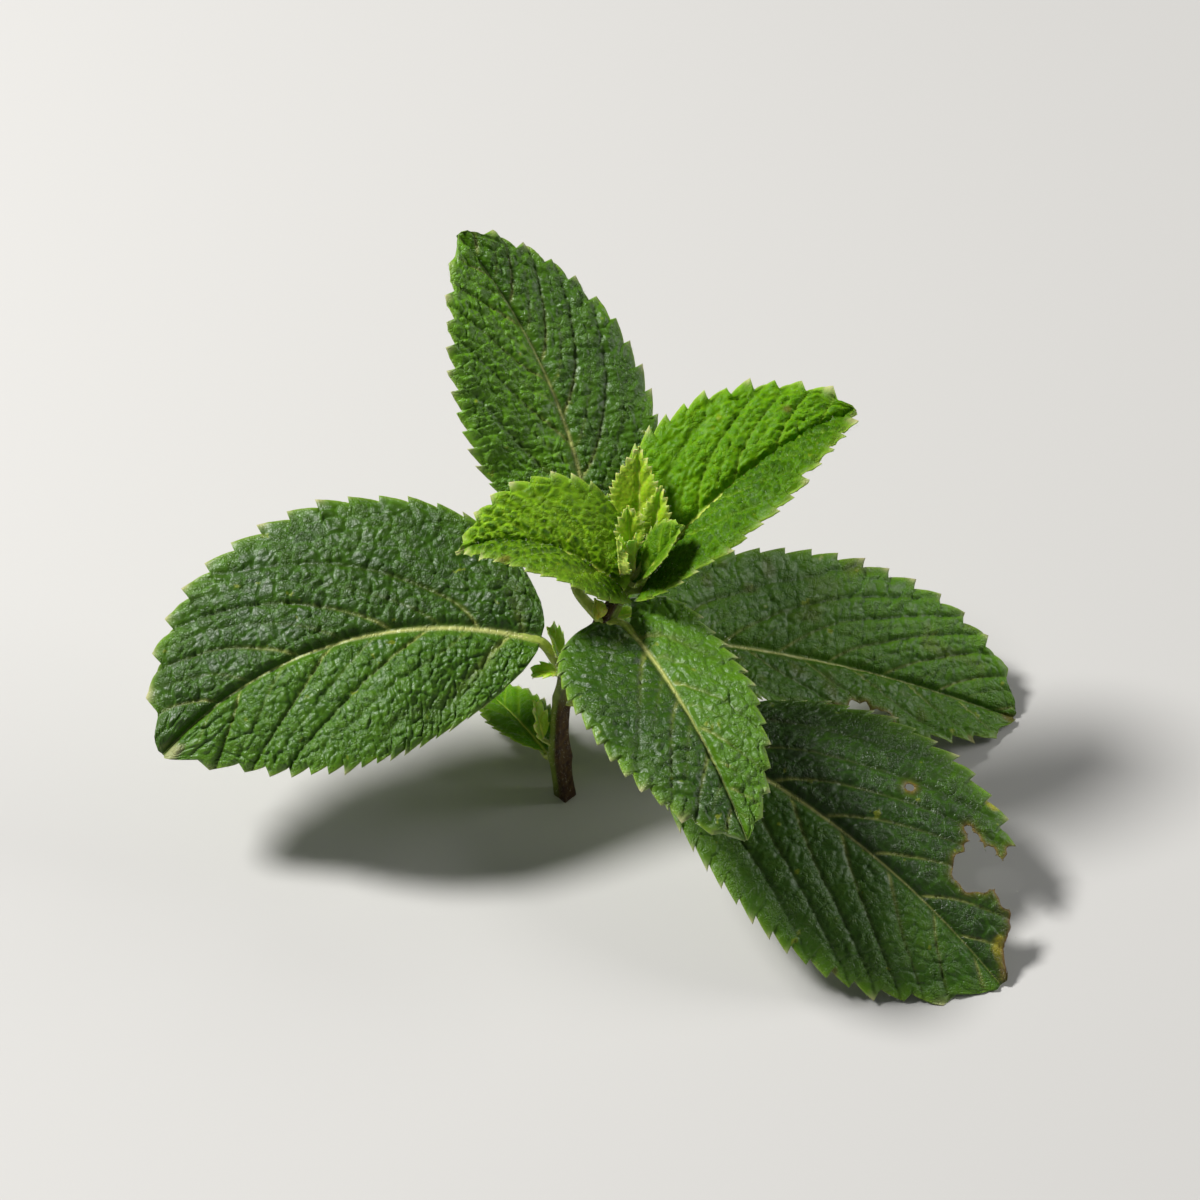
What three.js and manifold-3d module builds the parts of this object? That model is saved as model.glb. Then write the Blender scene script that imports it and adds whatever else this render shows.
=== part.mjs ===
// A cut peppermint sprig, about 120 mm across: a square stem, eight grown leaves at five nodes, a tip of six
// young leaves and six small side shoots. Millimetres, +Z up, seen from the front along +Y. The stem's cut
// end is at the origin until the finished group is set down on the middle of its own box.
//
// Every leaf is the same closed form: a toothed blade, folded along its midrib and bent by its own weight,
// on a round stalk that stops just short of the stem.
import * as THREE from "three";
import Module from "manifold-3d";
import { mergeVertices } from "three/addons/utils/BufferGeometryUtils.js";

const wasm = await Module();
wasm.setup();

// ---------------------------------------------------------------- driving dimensions
const BLADE_THICKNESS = 0.5;
const STEM_GAP = 0.3; // clear space between a leaf stalk and the stem
const NARROWEST = 0.3; // half the blade's width at its two ends
const STEM_STEPS = 20;
const STEM_SQUARENESS = 0.8;
const STEM_SIDES = 12;
const STALK_STEPS = 5;
const STALK_SIDES = 6;

// Teeth along a margin, in shares of the midrib's length. Each one points towards the leaf's tip, so its
// point lies late in its own pitch.
const BLADE_START = 0.004;
const FIRST_TOOTH = 0.06;
const LAST_TOOTH = 0.97;
const BLADE_END = 0.998;
const TOOTH_POINT = 0.72;

// The stem's middle line from the cut end to the growing tip, and its width from corner to corner there.
const STEM = [
  { at: [0, 0, 0], width: 3.0 },
  { at: [-0.4, 0.1, 4], width: 2.8 },
  { at: [-0.7, 0.2, 9], width: 3.2 },
  { at: [-0.7, 0.4, 13], width: 2.5 },
  { at: [-0.4, 0.6, 18], width: 2.5 },
  { at: [0.8, 1.0, 23], width: 3.0 },
  { at: [2.8, 1.5, 28], width: 2.1 },
  { at: [5.6, 2.0, 33.5], width: 2.6 },
  { at: [7.8, 2.7, 38.5], width: 2.2 },
  { at: [8.6, 3.0, 41], width: 1.2 },
];

// Where the leaves and side shoots spring from the stem's middle line.
const NODES = {
  top: [7.8, 2.7, 38.5],
  second: [5.6, 2.0, 33.5],
  third: [0.8, 1.0, 23],
  fourth: [-0.2, 0.7, 19.5],
  lowest: [-0.7, 0.2, 8],
};

// Leaf terms, in degrees and millimetres:
//   joint     where the stalk leaves the stem          via       a bend on the stalk's way, where it has one
//   base      where the blade begins                   turn      how far it swings round towards the tip
//   heading   compass direction of the blade's start   droop     how far the slope falls by the tip
//   rise      slope at the base                        twist     how far the roll grows by the tip
//   roll      tilt about the midrib, left side up      fold      how far each half is raised, left then right
//   curl      bend of each half from midrib to margin  skew      how much wider the left half is
//   lobe      how far each half runs back past the stalk (forward if negative), as a share of the length
//   fullBase, fullTip  roundness of the two ends: a small number is blunt, a large one is drawn out
//   stalk     the stalk's radius                       columns   strips of surface in each half
const GROWN = {
  twist: 0, lobe: [0, 0], skew: 0, toothHeight: 1, stalk: 0.75, columns: 3, colour: "mature", roughness: 0.55,
};
const YOUNG = {
  twist: 0, lobe: [0, 0], skew: 0, toothHeight: 0.4, stalk: 0.35, columns: 2, colour: "young", roughness: 0.6,
};

const LEAVES = {
  leaf_top_left: {
    ...GROWN,
    joint: NODES.top, base: [6.5, 1.6, 41.6],
    heading: 166, turn: 20, rise: 46, droop: 66, roll: -14,
    fold: [42, 25], curl: [-25, -10], lobe: [0.2, 0], skew: -0.1,
    length: 21.8, width: 18.6, fullBase: 0.7, fullTip: 1, teeth: 11, toothHeight: 0.8, colour: "fresh",
  },
  leaf_top_right: {
    ...GROWN,
    joint: NODES.top, base: [10.4, 3.2, 39],
    heading: 33, turn: -6, rise: 50, droop: 46, roll: 6,
    fold: [22, 30], curl: [-10, -10], skew: 0.1,
    length: 38, width: 24, fullBase: 0.6, fullTip: 0.72, teeth: 13, colour: "fresh",
  },
  leaf_second_back: {
    ...GROWN,
    joint: NODES.second, via: [1.7, 4.6, 38], base: [4, 8.4, 41.8],
    heading: 100, turn: 38, rise: 45, droop: 7, roll: 0,
    fold: [5, 5], curl: [-10, -10], skew: 0.03,
    length: 47, width: 27.2, fullBase: 0.55, fullTip: 0.66, teeth: 14,
  },
  leaf_second_front: {
    ...GROWN,
    joint: NODES.second, base: [8.5, -0.8, 35.6],
    heading: -62, turn: -6, rise: 8, droop: 32, roll: 0,
    fold: [10, 8], curl: [-10, -10], lobe: [0.12, 0.06], skew: -0.17,
    length: 37, width: 23.8, fullBase: 0.32, fullTip: 0.6, teeth: 12,
  },
  leaf_third_left: {
    ...GROWN,
    joint: NODES.third, base: [-3, 1.5, 30],
    heading: 170, turn: 42, rise: 12, droop: 46, roll: -25,
    fold: [4, 4], curl: [-15, -10], skew: -0.07,
    length: 55, width: 38, fullBase: 0.55, fullTip: 0.6, teeth: 15,
  },
  leaf_third_right: {
    ...GROWN,
    joint: NODES.third, base: [8, 7, 25.3],
    heading: 20, turn: -24, rise: -21.9, droop: 3, roll: 19,
    fold: [16, 16], curl: [-10, -10], skew: 0.2,
    length: 63, width: 27, fullBase: 0.68, fullTip: 0.55, teeth: 15,
  },
  leaf_fourth_right: {
    ...GROWN,
    joint: NODES.fourth, base: [9, -2, 19.6],
    heading: -28, turn: -10, rise: 1, droop: 36.3, roll: 7, twist: 18,
    fold: [6, 3], curl: [-28, -10], lobe: [-0.12, 0], skew: 0.04,
    length: 62.5, width: 37, fullBase: 0.75, fullTip: 0.55, teeth: 16,
  },
  leaf_lowest_left: {
    ...GROWN,
    joint: NODES.lowest, base: [-2.5, 2, 6.4],
    heading: 118, turn: 0, rise: -5, droop: 23, roll: 0,
    fold: [20, 20], curl: [-10, -10],
    length: 22, width: 11, fullBase: 0.5, fullTip: 0.7, teeth: 9, toothHeight: 0.7, stalk: 0.6,
  },
};

// Young leaves at the growing tip, held nearly upright and still half folded, and the small leaves of the
// side shoots that start where a leaf stalk meets the stem.
const YOUNG_LEAVES = {
  tip_leaf_back: {
    ...YOUNG,
    joint: [9.4, 4.6, 41.2], base: [10.4, 8, 46],
    heading: 91, turn: 0, rise: 62, droop: 0, roll: 0,
    fold: [8, 30], curl: [0, 0], skew: 0.15,
    length: 11.6, width: 5.8, fullBase: 0.7, fullTip: 1.1, teeth: 6,
  },
  tip_leaf_back_right: {
    ...YOUNG,
    joint: [9.6, 3.6, 40.4], base: [12.3, 5.6, 44.4],
    heading: 75, turn: 0, rise: 68, droop: 8, roll: 0,
    fold: [15, 15], curl: [0, 0],
    length: 9, width: 4, fullBase: 0.7, fullTip: 1, teeth: 5,
  },
  tip_leaf_right: {
    ...YOUNG,
    joint: [9.7, 2.1, 40.2], base: [10.8, 1, 42.4],
    heading: 15, turn: 0, rise: 60, droop: 6, roll: 0,
    fold: [26, 36], curl: [-20, -20],
    length: 11, width: 7.6, fullBase: 0.8, fullTip: 0.7, teeth: 6,
  },
  tip_leaf_middle: {
    ...YOUNG,
    joint: [8.7, 3.9, 41.6], base: [9.1, 4.5, 43.4],
    heading: 97, turn: 0, rise: 74, droop: 6, roll: 0,
    fold: [20, 20], curl: [0, 0],
    length: 9, width: 2.6, fullBase: 0.8, fullTip: 0.8, teeth: 4,
  },
  tip_leaf_front_left: {
    ...YOUNG,
    joint: [8.2, 2.6, 41.6], base: [8.4, 2.8, 44.2],
    heading: 190, turn: 0, rise: 84, droop: 0, roll: 0,
    fold: [25, 25], curl: [0, 0],
    length: 4.4, width: 1.6, fullBase: 0.5, fullTip: 0.8, teeth: 3, stalk: 0.3,
  },
  tip_leaf_front_right: {
    ...YOUNG,
    joint: [9.2, 2.9, 41.4], base: [9.8, 3.3, 43.8],
    heading: -40, turn: 0, rise: 88, droop: 0, roll: 0,
    fold: [25, 25], curl: [0, 0],
    length: 4.2, width: 1.8, fullBase: 0.5, fullTip: 0.8, teeth: 3, stalk: 0.3,
  },
  shoot_second_left: {
    ...YOUNG,
    joint: [5.4, 1.4, 33.8], base: [4.8, 0.9, 35.2],
    heading: 130, turn: 0, rise: 75, droop: 0, roll: 0,
    fold: [25, 25], curl: [0, 0],
    length: 3, width: 2.4, fullBase: 0.5, fullTip: 0.6, teeth: 2,
  },
  shoot_second_right: {
    ...YOUNG,
    joint: [6.3, 2.4, 33.4], base: [7.4, 3.1, 33.2],
    heading: 5, turn: 0, rise: 15, droop: 10, roll: 0,
    fold: [15, 15], curl: [0, 0],
    length: 2.4, width: 2.6, fullBase: 0.5, fullTip: 0.6, teeth: 2,
  },
  shoot_third_upper: {
    ...YOUNG,
    joint: [1.9, 1.2, 25.5], base: [-0.5, 0.4, 28.2],
    heading: 170, turn: 0, rise: 72, droop: 0, roll: 0,
    fold: [15, 15], curl: [0, 0],
    length: 6.5, width: 4.5, fullBase: 0.5, fullTip: 0.6, teeth: 4,
  },
  shoot_third_inner: {
    ...YOUNG,
    joint: [2.1, 1.2, 26], base: [1.7, -0.9, 28],
    heading: 100, turn: 0, rise: 84, droop: 0, roll: 0,
    fold: [15, 15], curl: [0, 0],
    length: 5.5, width: 3.6, fullBase: 0.5, fullTip: 0.6, teeth: 3,
  },
  shoot_third_lower: {
    ...YOUNG,
    joint: [1.3, 1.0, 24.3], base: [-0.9, -1.2, 26.5],
    heading: 190, turn: 0, rise: 35, droop: 60, roll: 0,
    fold: [15, 15], curl: [0, 0],
    length: 3.5, width: 3, fullBase: 0.5, fullTip: 0.6, teeth: 3,
  },
  shoot_lowest: {
    ...YOUNG,
    joint: [-0.7, 0.2, 9.5], base: [-3, 0.3, 11.5],
    heading: 150, turn: 0, rise: 78, droop: 0, roll: 0,
    fold: [15, 15], curl: [0, 0],
    length: 7, width: 3.2, fullBase: 0.5, fullTip: 0.7, teeth: 3,
  },
};

// Places where a leaf has been eaten or torn away: round cuts, each at its share of the midrib's length, its
// distance from the midrib (positive to the left) and its radius in millimetres.
const BITES = {
  leaf_fourth_right: [
    { along: 0.6, across: 11, radius: 0.6 },
    { along: 0.752, across: 11.9, radius: 0.7 },
    { along: 0.77, across: 11.4, radius: 0.9 },
    { along: 0.79, across: 10.2, radius: 1.5 },
    { along: 0.815, across: 11.5, radius: 0.9 },
    { along: 0.818, across: 7.9, radius: 3 },
    { along: 0.852, across: 9.8, radius: 2.4 },
    { along: 0.885, across: 14, radius: 3.2 },
    { along: 0.908, across: 9.8, radius: 2.6 },
    { along: 0.953, across: 10.2, radius: 3.3 },
    { along: 0.985, across: 8, radius: 2.9 },
  ],
  leaf_third_right: [
    { along: 0.53, across: -9.9, radius: 2.2 },
    { along: 0.565, across: -11.4, radius: 1.6 },
    { along: 0.6, across: -8.9, radius: 2.9 },
    { along: 0.655, across: -9.5, radius: 2.8 },
  ],
};
const BITE_SIDES = 10;
const BITE_DEPTH = 4; // how far a cut reaches above and below the blade's middle

const COLOURS = {
  stem: new THREE.Color(0x5b6a2c),
  mature: new THREE.Color(0x35602a),
  fresh: new THREE.Color(0x4f8a2c),
  young: new THREE.Color(0x93b83a),
};
const STEM_ROUGHNESS = 0.6;

// ---------------------------------------------------------------- closed forms
const radians = THREE.MathUtils.degToRad;

// A closed solid from rings of points, each ring running the same way round. Each end is closed by strips
// between the two halves of its ring, so a ring may be bent.
function loft(rings) {
  const sides = rings[0].length;
  const positions = rings.flat().flatMap((point) => point.toArray());
  const faces = [];
  for (let ring = 0; ring + 1 < rings.length; ring++) {
    for (let side = 0; side < sides; side++) {
      const a = ring * sides + side;
      const b = ring * sides + ((side + 1) % sides);
      faces.push(a, b, b + sides, a, b + sides, a + sides);
    }
  }
  const last = (rings.length - 1) * sides;
  for (let side = 0; side + 1 < sides / 2; side++) {
    const [a, b, c, d] = [side, side + 1, sides - 2 - side, sides - 1 - side];
    faces.push(a, c, b, a, d, c);
    faces.push(last + a, last + b, last + c, last + a, last + c, last + d);
  }
  const geometry = new THREE.BufferGeometry();
  geometry.setAttribute("position", new THREE.Float32BufferAttribute(positions, 3));
  geometry.setIndex(faces);
  return geometry;
}

// A ring of points round a middle point, in the plane of two directions. Squareness is 0 for a round ring
// and 1 for a square one whose corners point along the two directions.
function ringOf(centre, right, up, radius, sides, squareness = 0) {
  const corner = Math.PI / 4;
  return Array.from({ length: sides }, (_, side) => {
    const angle = (side / sides) * 2 * Math.PI;
    const fromFlat = Math.abs(((angle + corner) % (2 * corner)) - corner);
    const squared = Math.cos(corner) / Math.cos(corner - fromFlat);
    const reach = radius * (1 + squareness * (squared - 1));
    return centre
      .clone()
      .addScaledVector(right, reach * Math.cos(angle))
      .addScaledVector(up, reach * Math.sin(angle));
  });
}

function stalkGeometry(points, radius) {
  const outline = Array.from({ length: STALK_SIDES }, (_, side) => {
    const angle = (side / STALK_SIDES) * 2 * Math.PI;
    return new THREE.Vector2(radius * Math.cos(angle), radius * Math.sin(angle));
  });
  return new THREE.ExtrudeGeometry(new THREE.Shape(outline), {
    steps: STALK_STEPS,
    bevelEnabled: false,
    extrudePath: new THREE.CatmullRomCurve3(points),
  });
}

function toSolid(geometry) {
  const tolerance = 1e-4;
  const bare = geometry.clone();
  bare.deleteAttribute("normal");
  bare.deleteAttribute("uv");
  const merged = mergeVertices(bare, tolerance);
  return new wasm.Manifold(
    new wasm.Mesh({
      numProp: 3,
      vertProperties: merged.attributes.position.array,
      triVerts: new Uint32Array(merged.index.array),
    }),
  );
}

function toGeometry(solid) {
  const { vertProperties, triVerts } = solid.getMesh();
  const geometry = new THREE.BufferGeometry();
  geometry.setAttribute("position", new THREE.BufferAttribute(vertProperties, 3));
  geometry.setIndex(new THREE.BufferAttribute(triVerts, 1));
  geometry.computeVertexNormals();
  return geometry;
}

// ---------------------------------------------------------------- stem
// The stem, or with a margin the space round it that the stalks stay out of.
function stemGeometry(margin) {
  const route = new THREE.CatmullRomCurve3(STEM.map((stop) => new THREE.Vector3(...stop.at)));
  const rings = [];
  for (let step = 0; step <= STEM_STEPS; step++) {
    const share = step / STEM_STEPS;
    const stop = Math.min(Math.floor(share * (STEM.length - 1)), STEM.length - 2);
    const between = share * (STEM.length - 1) - stop;
    const width = THREE.MathUtils.lerp(STEM[stop].width, STEM[stop + 1].width, between);
    const heading = step === 0 ? new THREE.Vector3(0, 0, 1) : route.getTangent(share);
    const right = new THREE.Vector3(1, 0, 0).addScaledVector(heading, -heading.x).normalize();
    const up = heading.clone().cross(right);
    rings.push(ringOf(route.getPoint(share), right, up, width / 2 + margin, STEM_SIDES, STEM_SQUARENESS));
  }
  return loft(rings);
}

// ---------------------------------------------------------------- leaves
// The direction of the midrib and the two directions square to it, at a share s of its length.
function leafFrame(leaf, s) {
  const compass = radians(leaf.heading + leaf.turn * s);
  const slope = radians(leaf.rise - leaf.droop * s);
  const roll = radians(leaf.roll + leaf.twist * s);
  const along = new THREE.Vector3(
    Math.cos(slope) * Math.cos(compass),
    Math.cos(slope) * Math.sin(compass),
    Math.sin(slope),
  );
  const across = new THREE.Vector3(-Math.sin(compass), Math.cos(compass), 0);
  const up = along.clone().cross(across);
  const left = across.clone().multiplyScalar(Math.cos(roll)).addScaledVector(up, Math.sin(roll));
  return { along, left, up: along.clone().cross(left) };
}

// The midrib's points at the given stations, found by walking along it.
function midribPoints(leaf, stations) {
  const strides = 6;
  const point = new THREE.Vector3(...leaf.base);
  let from = 0;
  return stations.map((station) => {
    const stride = (station - from) / strides;
    for (let i = 0; i < strides; i++) {
      const { along } = leafFrame(leaf, from + (i + 0.5) * stride);
      point.addScaledVector(along, stride * leaf.length);
    }
    from = station;
    return point.clone();
  });
}

// Half the blade's width at a station, for a blade whose ends are as full as the leaf says.
function halfWidth(leaf, s) {
  const { fullBase, fullTip } = leaf;
  const widest = fullBase / (fullBase + fullTip);
  const peak = widest ** fullBase * (1 - widest) ** fullTip;
  return ((leaf.width / 2) * (s ** fullBase) * ((1 - s) ** fullTip)) / peak;
}

// How far a point of the blade lies out from the midrib and above its plane, and the slope there.
function crossSection(reach, share, fold, curl) {
  const start = radians(fold);
  const bend = radians(curl);
  const slope = start + bend * share;
  if (bend === 0) {
    return { out: reach * share * Math.cos(start), up: reach * share * Math.sin(start), slope };
  }
  return {
    out: (reach * (Math.sin(slope) - Math.sin(start))) / bend,
    up: (reach * (Math.cos(start) - Math.cos(slope))) / bend,
    slope,
  };
}

// Stations along the midrib: each tooth has one at its notch and one at its point.
function toothStations(leaf) {
  const pitch = (LAST_TOOTH - FIRST_TOOTH) / leaf.teeth;
  const stations = [{ s: BLADE_START, tooth: 0 }];
  for (let tooth = 0; tooth < leaf.teeth; tooth++) {
    stations.push({ s: FIRST_TOOTH + tooth * pitch, tooth: 0 });
    stations.push({ s: FIRST_TOOTH + (tooth + TOOTH_POINT) * pitch, tooth: 1 });
  }
  stations.push({ s: LAST_TOOTH, tooth: 0 }, { s: BLADE_END, tooth: 0 });
  return stations;
}

// One point of the blade's middle sheet and the direction out of its face. Share runs from -1 at the
// right margin through 0 at the midrib to 1 at the left margin.
function bladePoint(leaf, s, centre, share, tooth) {
  const frame = leafFrame(leaf, s);
  const side = share < 0 ? 1 : 0;
  const sign = side ? -1 : 1;
  const part = Math.abs(share);
  const outward = part === 1 ? leaf.toothHeight * (tooth - 0.5) : 0;
  const reach = Math.max(halfWidth(leaf, s) * (1 + sign * leaf.skew) + outward, NARROWEST);
  const { out, up, slope } = crossSection(reach, part, leaf.fold[side], leaf.curl[side]);
  const backward = leaf.lobe[side] * leaf.length * (1 - s) ** 2 * part ** 2;
  const tilt = part === 0 ? 0 : slope * sign;
  return {
    point: centre
      .clone()
      .addScaledVector(frame.left, sign * out)
      .addScaledVector(frame.up, up)
      .addScaledVector(frame.along, -backward),
    normal: frame.up
      .clone()
      .multiplyScalar(Math.cos(tilt))
      .addScaledVector(frame.left, -Math.sin(tilt)),
  };
}

// The blade as a lofted sheet of even thickness: each ring runs over its underside and back along its top.
function bladeGeometry(leaf) {
  const stations = toothStations(leaf);
  const centres = midribPoints(leaf, stations.map(({ s }) => s));
  const shares = [];
  for (let column = -leaf.columns; column <= leaf.columns; column++) shares.push(column / leaf.columns);
  const rings = stations.map(({ s, tooth }, index) => {
    const row = shares.map((share) => bladePoint(leaf, s, centres[index], share, tooth));
    const half = BLADE_THICKNESS / 2;
    const top = row.map(({ point, normal }) => point.clone().addScaledVector(normal, half));
    const underside = row.map(({ point, normal }) => point.clone().addScaledVector(normal, -half));
    return [...underside, ...top.reverse()];
  });
  return loft(rings);
}

// A round cut straight through the blade, as a solid to take away from it.
function biteSolid(leaf, bite) {
  const side = bite.across < 0 ? 1 : 0;
  const sign = side ? -1 : 1;
  const [centre] = midribPoints(leaf, [bite.along]);
  const { along, left, up } = leafFrame(leaf, bite.along);
  const slope = radians(leaf.fold[side] + leaf.curl[side] / 2);
  const out = left.clone().multiplyScalar(sign * Math.cos(slope)).addScaledVector(up, Math.sin(slope));
  const through = along.clone().cross(out);
  centre.addScaledVector(out, sign * bite.across);
  const rings = [-BITE_DEPTH, BITE_DEPTH].map((height) =>
    ringOf(centre.clone().addScaledVector(through, height), along, out, bite.radius, BITE_SIDES),
  );
  return toSolid(loft(rings));
}

// The stalk's points: off the stem, up to the blade's base and on a little way under the midrib.
function stalkPoints(leaf) {
  const underBlade = 0.05;
  const end = 0.12;
  const sunk = -leaf.stalk / 2;
  const joint = new THREE.Vector3(...leaf.joint);
  const base = new THREE.Vector3(...leaf.base);
  const via = leaf.via ? new THREE.Vector3(...leaf.via) : joint.clone().lerp(base, 0.5);
  const { up } = leafFrame(leaf, underBlade);
  const [under, inside] = midribPoints(leaf, [underBlade, end]);
  return [
    joint,
    via,
    base.addScaledVector(up, sunk),
    under.addScaledVector(up, sunk),
    inside.addScaledVector(up, sunk / 2),
  ];
}

function leafSolid(name, leaf, stemClearance) {
  const stalk = toSolid(stalkGeometry(stalkPoints(leaf), leaf.stalk)).subtract(stemClearance);
  let solid = toSolid(bladeGeometry(leaf)).add(stalk);
  for (const bite of BITES[name] ?? []) solid = solid.subtract(biteSolid(leaf, bite));
  return solid;
}

// ---------------------------------------------------------------- the whole sprig
function namedMesh(name, geometry, color, roughness) {
  const material = new THREE.MeshStandardMaterial({ color, roughness, metalness: 0 });
  const mesh = new THREE.Mesh(geometry, material);
  mesh.name = name;
  return mesh;
}

const stemClearance = toSolid(stemGeometry(STEM_GAP));
const sprig = new THREE.Group();
sprig.add(namedMesh("main_stem", stemGeometry(0), COLOURS.stem, STEM_ROUGHNESS));
for (const [name, leaf] of Object.entries({ ...LEAVES, ...YOUNG_LEAVES })) {
  const solid = leafSolid(name, leaf, stemClearance);
  sprig.add(namedMesh(name, toGeometry(solid), COLOURS[leaf.colour], leaf.roughness));
}

// The finished group stands on the floor with the middle of its box over the origin.
const box = new THREE.Box3().setFromObject(sprig, true);
const middle = box.getCenter(new THREE.Vector3());
sprig.position.set(-middle.x, -middle.y, -box.min.z);

export default sprig;
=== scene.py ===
"""A cut peppermint sprig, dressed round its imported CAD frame.

Each leaf repeats the terms of its CAD solid and adds what that solid leaves out: veins, the pockets between
them, forward-pointing teeth, eaten edges, a grooved stalk and the colours of the living leaf. Lengths in
this script are millimetres in the plant's own frame, and build_mesh() brings them into the CAD frame.
"""
import math
from types import SimpleNamespace

import bpy
import numpy as np
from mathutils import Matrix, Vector


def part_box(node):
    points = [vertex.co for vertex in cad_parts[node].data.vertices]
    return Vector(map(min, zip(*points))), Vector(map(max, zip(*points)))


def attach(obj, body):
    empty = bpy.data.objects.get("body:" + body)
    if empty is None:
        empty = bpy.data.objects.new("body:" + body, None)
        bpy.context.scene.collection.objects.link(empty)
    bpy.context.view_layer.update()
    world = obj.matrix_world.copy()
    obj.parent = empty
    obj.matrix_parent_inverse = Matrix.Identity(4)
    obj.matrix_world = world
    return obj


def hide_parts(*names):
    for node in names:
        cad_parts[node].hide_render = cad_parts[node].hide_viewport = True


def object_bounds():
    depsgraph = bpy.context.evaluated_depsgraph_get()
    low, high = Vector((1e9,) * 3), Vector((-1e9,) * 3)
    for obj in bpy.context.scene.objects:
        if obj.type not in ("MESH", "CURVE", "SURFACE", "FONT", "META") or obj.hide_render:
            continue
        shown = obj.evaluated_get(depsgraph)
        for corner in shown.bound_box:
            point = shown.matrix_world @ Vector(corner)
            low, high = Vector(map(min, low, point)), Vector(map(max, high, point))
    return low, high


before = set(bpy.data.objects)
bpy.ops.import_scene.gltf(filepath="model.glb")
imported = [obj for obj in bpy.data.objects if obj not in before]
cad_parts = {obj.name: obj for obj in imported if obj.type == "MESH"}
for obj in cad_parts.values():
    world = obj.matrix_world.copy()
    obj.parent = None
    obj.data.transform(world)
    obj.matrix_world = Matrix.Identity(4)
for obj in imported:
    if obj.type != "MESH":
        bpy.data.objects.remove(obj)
cad_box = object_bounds()

MM = 0.001
BODY = "root"

# ---- the plant's driving dimensions
STEM = [  # the stem's middle line from the cut foot to the growing tip, with its corner-to-corner width
    ((0.0, 0.0, 0.0), 3.0),
    ((-0.4, 0.1, 4.0), 2.8),
    ((-0.7, 0.2, 9.0), 3.2),
    ((-0.7, 0.4, 13.0), 2.5),
    ((-0.4, 0.6, 18.0), 2.5),
    ((0.8, 1.0, 23.0), 3.0),
    ((2.8, 1.5, 28.0), 2.1),
    ((5.6, 2.0, 33.5), 2.6),
    ((7.8, 2.7, 38.5), 2.2),
    ((8.6, 3.0, 41.0), 1.2),
]
NODES = {
    "top": (7.8, 2.7, 38.5),
    "second": (5.6, 2.0, 33.5),
    "third": (0.8, 1.0, 23.0),
    "fourth": (-0.2, 0.7, 19.5),
    "lowest": (-0.7, 0.2, 8.0),
}

# Leaf terms, in degrees and millimetres; a pair is left, then right. As in the CAD source: where the leaf
# joins the stem (joint, then via), where its blade starts (base), how it points (heading, rise, roll), how
# that changes along it (turn, droop, twist), how its halves fold, curl, run back past the stalk (lobe) and
# differ in width (skew), its length and width, how slender its two ends are (full_base, full_tip), and its
# teeth and stalk. Only for the looks:
#   point         how far the tip is drawn out
#   kind, tint    the leaf's slot, and its tones where they are those of another kind
#   thick         the blade's thickness, as a share of BLADE_THICKNESS
#   cell, relief  the size and depth of the pockets between the veins
#   spacing       of the strong side veins; offset is where they start, veined the depth of their grooves,
#                 and weak the strength of the veins between them
#   dark, light, lime   shares of a deeper green that is mostly painted shade, of painted light, and of lime
#   net, pale     how light the lines round the pockets are, and how far pale side veins reach
#   margin        the strength of the lime band inside the margin
#   brown, red    shares of brown stains, and of red under the stalk, which is partly its own red and partly painted shade
#   hairs, down   numbers of hairs on the margin and on the upper face
GROWN = dict(
    via=None, turn=0, droop=0, roll=0, twist=0, curl=(-10, -10), lobe=(0, 0), skew=0,
    tooth_height=1.2, stalk=0.75, point=1.2, kind="mature", tint=None, thick=1.0,
    cell=2.0, spacing=8.5, offset=0.1, weak=0.3, relief=1.0, veined=0.9,
    dark=(0.1, 0.1), light=(0.0, 0.0), lime=(0.0, 0.0), net=(0.3, 0.3), pale=0.09, margin=1.0,
    brown=0.0, red=0.2, hairs=160, down=0,
)
YOUNG = dict(
    GROWN, fold=(15, 15), curl=(0, 0), full_base=0.5, full_tip=0.6,
    tooth_height=0.6, stalk=0.35, point=0.3, kind="young", thick=0.8,
    cell=0.9, spacing=2.6, relief=0.45, dark=(0.0, 0.0), pale=0.4, hairs=50,
)
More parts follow.
